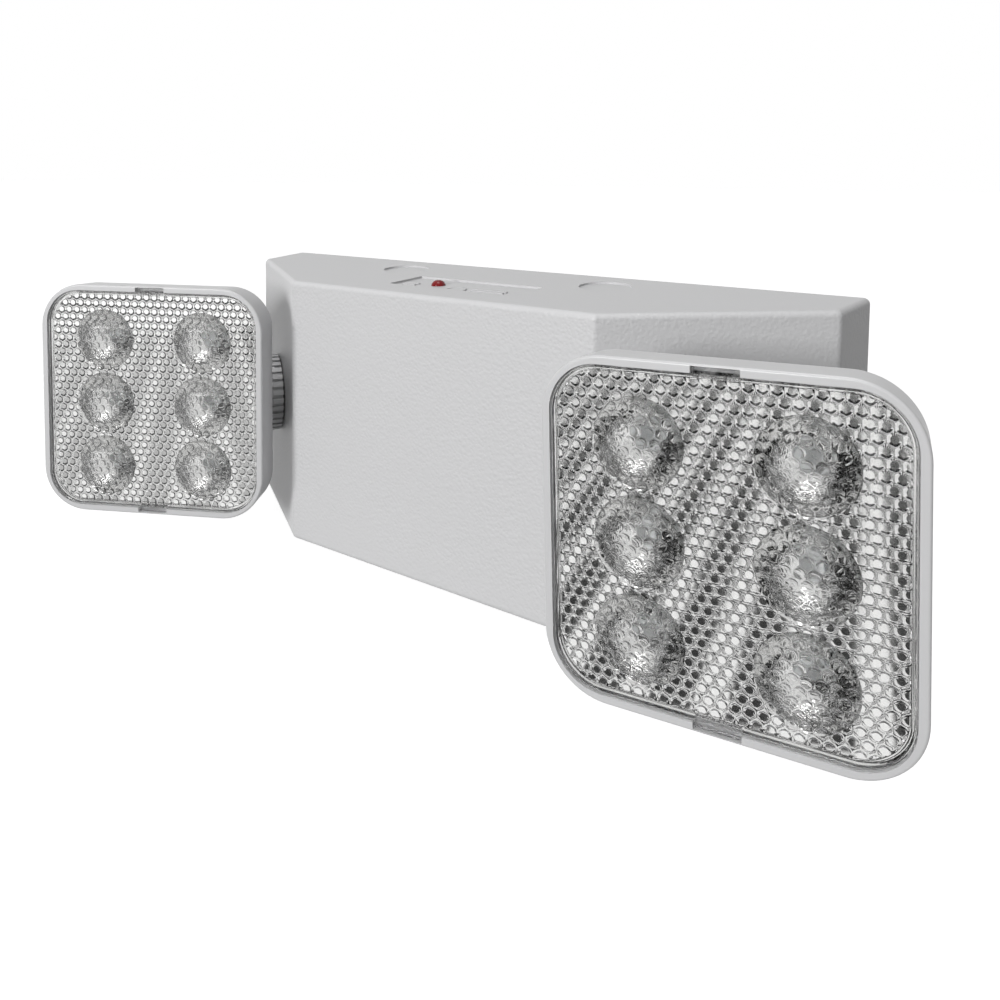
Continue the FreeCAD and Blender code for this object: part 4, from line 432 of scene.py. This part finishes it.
def everything(mesh: bmesh.types.BMesh) -> list:
    """List the points, edges and faces of a mesh."""
    return mesh.verts[:] + mesh.edges[:] + mesh.faces[:]


def points_of(geometry: list) -> list[bmesh.types.BMVert]:
    """Pick the points out of what an operator made."""
    return [item for item in geometry if isinstance(item, bmesh.types.BMVert)]


def kept_shape(name: str, mesh: bmesh.types.BMesh) -> bpy.types.Mesh:
    """Keep a finished bmesh as mesh data, to be placed in each lamp head.

    Args:
        name: what the shape is called.
        mesh: the finished shape.

    Returns:
        The mesh data.
    """
    data = bpy.data.meshes.new(name)
    mesh.to_mesh(data)
    mesh.free()
    return data


@dataclass
class PrismLens:
    """A clear lens plate, flat in front, with a honeycomb of small domes moulded on its inner face.

    The inset is how far its front stands behind the front of the bezel. Each dome is turned a little wider
    than its six-sided foot, by the share dome_excess, so that the cuts leave whole sides.
    """

    half: float = 46.0 * MM
    corner: float = 14.0 * MM
    thickness: float = 2.1 * MM
    front_bevel: float = 0.4 * MM
    inset: float = 0.5 * MM
    field_half: float = 44.7 * MM
    pitch: float = 3.48 * MM
    dome_radius: float = 2.9 * MM
    dome_sides: int = 6
    dome_steps: int = 12
    dome_excess: float = 1.001
    arc_steps: int = 3
    spare_cells: int = 3
    outline_steps: int = 48
    tab_half: float = 6.0 * MM
    tab_height: float = 1.9 * MM
    flat_enough: float = 0.99
    smooth_corners: int = 4

    def dome(self) -> bmesh.types.BMesh:
        """Model one dome with a six-sided foot.

        Returns:
            The dome, its top towards +Y and the corners of its foot in the plane y = 0.
        """
        reach = self.pitch / math.sqrt(3)
        low = math.sqrt(self.dome_radius ** 2 - reach ** 2)
        mesh = bmesh.new()
        widest = math.asin(reach * self.dome_excess / self.dome_radius)
        points = []
        for step in range(self.arc_steps + 1):
            angle = widest * step / self.arc_steps
            height = self.dome_radius * math.cos(angle) - low
            points.append(mesh.verts.new((self.dome_radius * math.sin(angle), height, 0)))
        for pair in zip(points, points[1:]):
            mesh.edges.new(pair)
        bmesh.ops.spin(mesh, geom=mesh.verts[:] + mesh.edges[:], axis=(0, 1, 0), cent=(0, 0, 0),
                       angle=math.tau, steps=self.dome_steps, use_merge=True)
        bmesh.ops.remove_doubles(mesh, verts=mesh.verts, dist=SAME_POINT)
        for turn in range(self.dome_sides):
            angle = math.tau * turn / self.dome_sides
            away = Vector((math.cos(angle), 0, math.sin(angle)))
            bmesh.ops.bisect_plane(mesh, geom=everything(mesh), plane_co=away * self.pitch / 2,
                                   plane_no=away, clear_outer=True)
        return mesh

    def field(self) -> bmesh.types.BMesh:
        """Repeat the dome over the field and trim it to a square with round corners.

        Returns:
            The trimmed sheet of domes.
        """
        mesh = self.dome()
        rise = self.pitch * math.sqrt(3) / 2
        across = int(2 * self.field_half / self.pitch) + self.spare_cells
        rows = int(2 * self.field_half / rise) + self.spare_cells
        cell = everything(mesh)
        for step in range(1, across):
            made = bmesh.ops.duplicate(mesh, geom=cell)["geom"]
            bmesh.ops.translate(mesh, verts=points_of(made), vec=(step * self.pitch, 0, 0))
        row = everything(mesh)
        for step in range(1, rows):
            made = bmesh.ops.duplicate(mesh, geom=row)["geom"]
            stagger = (step % 2) * self.pitch / 2
            bmesh.ops.translate(mesh, verts=points_of(made), vec=(stagger, 0, step * rise))
        bmesh.ops.remove_doubles(mesh, verts=mesh.verts, dist=CLOSE)
        bmesh.ops.translate(mesh, verts=mesh.verts,
                            vec=(-(across - 0.5) * self.pitch / 2, 0, -(rows - 1) * rise / 2))
        corner = self.corner * self.field_half / self.half
        for turn in range(self.outline_steps):
            angle = math.tau * turn / self.outline_steps
            away = Vector((math.cos(angle), 0, math.sin(angle)))
            reach = (self.field_half - corner) * (abs(away.x) + abs(away.z)) + corner
            bmesh.ops.bisect_plane(mesh, geom=everything(mesh), plane_co=away * reach, plane_no=away,
                                   clear_outer=True)
        return mesh

    def ring(self, mesh: bmesh.types.BMesh, edges: list, grow: float, level: float) -> list:
        """Draw the open edge of the plate on to a larger or smaller outline at one depth.

        Args:
            mesh: the plate so far.
            edges: its open edges.
            grow: share by which the outline is scaled.
            level: depth of the new outline.

        Returns:
            The new open edges.
        """
        made = bmesh.ops.extrude_edge_only(mesh, edges=edges)["geom"]
        verts = points_of(made)
        bmesh.ops.scale(mesh, verts=verts, vec=(grow, 0, grow))
        bmesh.ops.translate(mesh, verts=verts, vec=(0, level, 0))
        return [item for item in made if isinstance(item, bmesh.types.BMEdge)]

    def tabs(self, mesh: bmesh.types.BMesh) -> None:
        """Pull the snap tabs out of the top and bottom edges.

        Args:
            mesh: the closed plate.
        """
        for way in (1, -1):
            faces = [face for face in mesh.faces if face.normal.z * way > self.flat_enough
                     and abs(face.calc_center_median().x) < self.tab_half]
            made = bmesh.ops.extrude_face_region(mesh, geom=faces)["geom"]
            bmesh.ops.delete(mesh, geom=faces, context="FACES_ONLY")
            bmesh.ops.translate(mesh, verts=points_of(made), vec=(0, 0, way * self.tab_height))

    def build(self) -> bpy.types.Mesh:
        """Model the whole lens in the frame of a lamp head, its domes towards the reflector.

        Returns:
            The finished mesh.
        """
        mesh = self.field()
        bmesh.ops.translate(mesh, verts=mesh.verts, vec=(0, self.thickness, 0))
        edges = [edge for edge in mesh.edges if edge.is_boundary]
        edges = self.ring(mesh, edges, 1.0, self.thickness)
        edges = self.ring(mesh, edges, self.half / self.field_half, self.thickness)
        edges = self.ring(mesh, edges, 1.0, self.front_bevel)
        edges = self.ring(mesh, edges, 1.0 - self.front_bevel / self.half, 0.0)
        bmesh.ops.contextual_create(mesh, geom=edges)
        bmesh.ops.recalc_face_normals(mesh, faces=mesh.faces)
        self.tabs(mesh)
        bmesh.ops.recalc_face_normals(mesh, faces=mesh.faces)
        for face in mesh.faces:
            on_a_dome = face.calc_center_median().y > self.thickness
            face.smooth = on_a_dome and len(face.verts) <= self.smooth_corners
        bmesh.ops.translate(mesh, verts=mesh.verts, vec=(0, self.inset, 0))
        return kept_shape("lens_shape", mesh)


@dataclass
class Reflector:
    """The metallised tray behind a lens: a flat plate with six bowls, and a lip that hooks over the seat."""

    half: float = 44.4 * MM
    corner: float = 12.4 * MM
    front: float = 3.45 * MM
    lip_half: float = 45.8 * MM
    lip_front: float = 2.75 * MM
    floor: float = 12.3 * MM
    mouth: float = 13.0 * MM
    throat: float = 3.4 * MM
    bulge: float = 0.7 * MM
    pitch_x: float = 43.0 * MM
    pitch_z: float = 27.2 * MM
    columns: tuple[float, ...] = (-0.5, 0.5)
    rows: tuple[float, ...] = (-1.0, 0.0, 1.0)
    drop: float = 1.9 * MM
    sheet: float = 0.25 * MM
    arc_steps: int = 12
    turn_steps: int = 64
    smooth_corners: int = 4

    def bowl(self, mesh: bmesh.types.BMesh, x: float, z: float) -> None:
        """Turn one bowl from its throat to its mouth.

        Args:
            mesh: the tray so far.
            x: middle of the bowl, across.
            z: middle of the bowl, up.
        """
        points = []
        for step in range(self.arc_steps + 1):
            share = step / self.arc_steps
            # The wall bulges most half way up the bowl.
            out = self.bulge * 4 * share * (1 - share)
            radius = self.throat + (self.mouth - self.throat) * share + out
            depth = self.floor + (self.front - self.floor) * share + out
            points.append(mesh.verts.new((x + radius, depth, z)))
        edges = [mesh.edges.new(pair) for pair in zip(points, points[1:])]
        bmesh.ops.spin(mesh, geom=points + edges, axis=(0, 1, 0), cent=(x, 0, z), angle=math.tau,
                       steps=self.turn_steps, use_merge=True)

    def outline(self, mesh: bmesh.types.BMesh, half: float, corner: float, level: float) -> list:
        """Draw a square with round corners at one depth.

        Args:
            mesh: the tray so far.
            half: half the side of the square.
            corner: radius of its corners.
            level: its depth.

        Returns:
            The edges of the outline.
        """
        made = bmesh.ops.create_circle(mesh, segments=self.turn_steps, radius=corner,
                                       matrix=Matrix.Rotation(math.pi / 2, 4, "X"))["verts"]
        straight = half - corner
        for vert in made:
            vert.co += Vector((math.copysign(straight, vert.co.x), level, math.copysign(straight, vert.co.z)))
        return [edge for edge in mesh.edges if edge.verts[0] in made and edge.verts[1] in made]

    def build(self) -> bpy.types.Mesh:
        """Model the whole tray in the frame of a lamp head.

        Returns:
            The finished mesh.
        """
        mesh = bmesh.new()
        for column in self.columns:
            for row in self.rows:
                self.bowl(mesh, column * self.pitch_x, row * self.pitch_z - self.drop)
        mouths = [edge for edge in mesh.edges if edge.is_boundary
                  and all(abs(vert.co.y - self.front) < CLOSE for vert in edge.verts)]
        rim = self.outline(mesh, self.half, self.corner, self.front)
        bmesh.ops.triangle_fill(mesh, use_beauty=True, edges=mouths + rim, normal=(0, -1, 0))
        lip_corner = self.corner + self.lip_half - self.half
        lip = self.outline(mesh, self.lip_half, lip_corner, self.lip_front)
        bmesh.ops.bridge_loops(mesh, edges=rim + lip)
        bmesh.ops.recalc_face_normals(mesh, faces=mesh.faces)
        bmesh.ops.solidify(mesh, geom=mesh.faces[:], thickness=self.sheet)
        for face in mesh.faces:
            face.smooth = len(face.verts) == self.smooth_corners
        return kept_shape("reflector_shape", mesh)


class LampHead:
    """One lamp head: the frame it is modelled in, and its new lens and reflector."""

    def __init__(self, side: Side, pivot_depth: float = 24.0 * MM) -> None:
        """Find where the head stands from its pivot and its light board.

        Args:
            side: which head it is.
            pivot_depth: front of the bezel to the tilt pivot.
        """
        self.side = side
        joint = next(j for j in frame["joints"] if j["name"] == side.value + "_tilt")
        pivot = Vector(joint["pos_m"])
        up = Vector(joint["axis"]).normalized()
        low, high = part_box(side.value + "_light_board")
        back = pivot - (low + high) / 2
        rise = -back.dot(up)
        back = (back + up * rise).normalized()
        right = back.cross(up)
        turn = Matrix((right, back, up)).transposed().to_4x4()
        self.place = Matrix.Translation(pivot - back * pivot_depth + up * rise) @ turn

    def dress(self, shape: bpy.types.Mesh, name: str, node: str,
              finish: bpy.types.Material) -> bpy.types.Object:
        """Put a modelled piece in place of a packed one.

        Args:
            shape: the piece, modelled in the frame of a lamp head.
            name: what the piece is called, after its side.
            node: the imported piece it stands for, after its side.
            finish: its material.

        Returns:
            The new piece.
        """
        mesh = bmesh.new()
        mesh.from_mesh(shape)
        bmesh.ops.transform(mesh, matrix=self.place, verts=mesh.verts)
        piece = new_piece(self.side.value + "_" + name, mesh, finish)
        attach(piece, self.side.value + "_head")
        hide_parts(self.side.value + "_" + node)
        return piece


def dress_solids(materials: dict[str, bpy.types.Material]) -> None:
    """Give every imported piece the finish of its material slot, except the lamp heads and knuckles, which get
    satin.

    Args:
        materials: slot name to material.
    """
    satin = SATIN.material()
    for part in frame["record"]["subparts"]:
        piece = frame["nodes"][part["node"]]
        finish = satin if part["node"].endswith(SATIN_NODES) else materials[part["material_slot"]]
        piece.data.materials.clear()
        piece.data.materials.append(finish)


@dataclass(frozen=True)
class Lamp:
    """One soft square lamp: where it hangs, its width in metres and its power in watts."""

    name: str
    place: tuple[float, float, float]
    size: float
    power: float

    def hang(self, aim: Vector) -> None:
        """Hang the lamp.

        Args:
            aim: the point it faces.
        """
        data = bpy.data.lights.new(self.name, "AREA")
        data.size = self.size
        data.energy = self.power
        lamp = bpy.data.objects.new(self.name, data)
        lamp.location = self.place
        lamp.rotation_mode = "QUATERNION"
        lamp.rotation_quaternion = (aim - Vector(self.place)).to_track_quat("-Z", "Y")
        bpy.context.scene.collection.objects.link(lamp)


@dataclass(frozen=True)
class Card:
    """A plain card that only metal and glass see, as the unlit part of a studio is.

    Its shade is what it shows, whatever light falls on it.
    """

    name: str
    shade: str
    place: tuple[float, float, float]
    half_width: float
    half_height: float

    def hang(self, aim: Vector) -> None:
        """Hang the card.

        Args:
            aim: the point it faces.
        """
        place = Vector(self.place)
        tree = Tree(bpy.data.materials.new(self.name + " cloth"))
        shader = tree.add("ShaderNodeEmission", {"Color": linear(self.shade), "Strength": 1.0})
        mesh = bmesh.new()
        bmesh.ops.create_grid(mesh, x_segments=1, y_segments=1, size=1.0)
        bmesh.ops.scale(mesh, vec=(self.half_width, self.half_height, 1.0), verts=mesh.verts)
        turn = (aim - place).to_track_quat("Z", "Y").to_matrix().to_4x4()
        bmesh.ops.transform(mesh, matrix=Matrix.Translation(place) @ turn, verts=mesh.verts)
        card = new_piece(self.name, mesh, tree.finish(shader.outputs[0]))
        card.visible_camera = False
        card.visible_diffuse = False
        card.visible_shadow = False


@dataclass
class Strips:
    """Grey strips side by side on the floor in front of the part, which break up what the lenses mirror."""

    count: int = 25
    first: float = -350.0 * MM
    pitch: float = 23.0 * MM
    width: float = 13.0 * MM
    length: float = 480.0 * MM
    middle: float = -380.0 * MM
    overhead: float = 1.0
    pale_side: float = -70.0 * MM
    pale: str = "d0d0d0"
    dark: str = "404040"

    def lay(self, level: float) -> None:
        """Lay the strips, paler ones in front of the left lamp head.

        Args:
            level: height of the strips.
        """
        for number in range(self.count):
            across = self.first + number * self.pitch
            shade = self.pale if across < self.pale_side else self.dark
            strip = Card(f"floor_strip_{number + 1}", shade, (across, self.middle, level), self.width / 2,
                         self.length / 2)
            strip.hang(Vector((across, self.middle, self.overhead)))


@dataclass
class Studio:
    """The pale floor, the light and the camera. Angles are in degrees."""

    azimuth: float = 33.521
    elevation: float = 3.424
    roll: float = 0.656
    distance: float = 376.68 * MM
    target: tuple[float, float, float] = (-13.18 * MM, 0.0, 77.03 * MM)
    focal_length: float = 29.548
    shift: float = -0.26861
    clip_start: float = 10.0 * MM
    ambient: float = 0.11
    floor_gap: float = 0.5 * MM
    floor_half: float = 30.0
    floor_colour: str = "909090"
    floor_roughness: float = 0.9
    floor_glow: float = 0.92
    strip_lift: float = 0.5 * MM
    middle: tuple[float, float, float] = (0.0, -80.0 * MM, 0.0)
    lamps: tuple[Lamp, ...] = (Lamp("key_lamp", (-0.13, -1.68, 0.38), 0.5, 21.5),
                               Lamp("top_lamp", (0.1, -0.35, 1.6), 0.8, 12.0))
    dark_card: Card = Card("dark_card", "0c0c0c", (-0.31, -1.27, 0.18), 1.2, 0.55)

    def camera(self) -> None:
        """Set the camera at the photograph's viewing angle."""
        az, el, roll = (math.radians(angle) for angle in (self.azimuth, self.elevation, self.roll))
        ahead = Vector((-math.sin(az) * math.cos(el), math.cos(az) * math.cos(el), -math.sin(el)))
        across = Vector((math.cos(az), math.sin(az), 0))
        up = across.cross(ahead)
        right = across * math.cos(roll) + up * math.sin(roll)
        top = up * math.cos(roll) - across * math.sin(roll)
        data = bpy.data.cameras.new("camera")
        data.lens = self.focal_length
        data.shift_y = self.shift
        data.clip_start = self.clip_start
        camera = bpy.data.objects.new("camera", data)
        spot = Vector(self.target) - ahead * self.distance
        camera.matrix_world = Matrix.Translation(spot) @ Matrix((right, top, -ahead)).transposed().to_4x4()
        bpy.context.scene.collection.objects.link(camera)
        bpy.context.scene.camera = camera

    def world(self) -> None:
        """Fill the room with even light, and show it white to the camera, metal and glass."""
        tree = Tree(bpy.data.worlds.new("room"), "ShaderNodeOutputWorld")
        level = tree.add("ShaderNodeMapRange", {"Value": tree.seen(), "To Min": self.ambient, "To Max": 1.0})
        light = tree.add("ShaderNodeBackground", {"Color": WHITE, "Strength": level.outputs[0]})
        bpy.context.scene.world = tree.finish(light.outputs[0])

    def floor(self, level: float) -> None:
        """Lay a pale floor that keeps the shadow of the part.

        Args:
            level: height of the floor.
        """
        tree = Tree(bpy.data.materials.new("pale studio floor"))
        glow = tree.add("ShaderNodeMath", {0: tree.seen(), 1: self.floor_glow}, operation="MULTIPLY")
        shader = tree.add("ShaderNodeBsdfPrincipled", {
            "Base Color": linear(self.floor_colour), "Roughness": self.floor_roughness,
            "Emission Color": WHITE, "Emission Strength": glow.outputs[0]})
        mesh = bmesh.new()
        bmesh.ops.create_grid(mesh, x_segments=1, y_segments=1, size=self.floor_half)
        bmesh.ops.translate(mesh, verts=mesh.verts, vec=(0, 0, level))
        new_piece("floor", mesh, tree.finish(shader.outputs[0]))

    def build(self) -> None:
        """Set up the whole studio."""
        level = SOLID_BOX[0].z - self.floor_gap
        aim = Vector(self.middle)
        self.camera()
        self.world()
        self.floor(level)
        for lamp in self.lamps:
            lamp.hang(aim)
        self.dark_card.hang(aim)
        Strips().lay(level + self.strip_lift)


def main() -> None:
    """Build the looks in order."""
    logging.basicConfig(level=logging.INFO, format="%(name)s %(message)s")
    bpy.context.scene.view_settings.view_transform = "Standard"
    materials = {slot: finish.material() for slot, finish in FINISHES.items()}
    clear, bright = materials["clear_plastic"], materials["bright_reflector"]
    dress_solids(materials)
    lens = PrismLens().build()
    tray = Reflector().build()
    for side in Side:
        head = LampHead(side)
        head.dress(lens, "prism_lens", "lens", clear)
        head.dress(tray, "bowl_reflector", "reflector", bright)
    Studio().build()


if __name__ == "__main__":
    main()
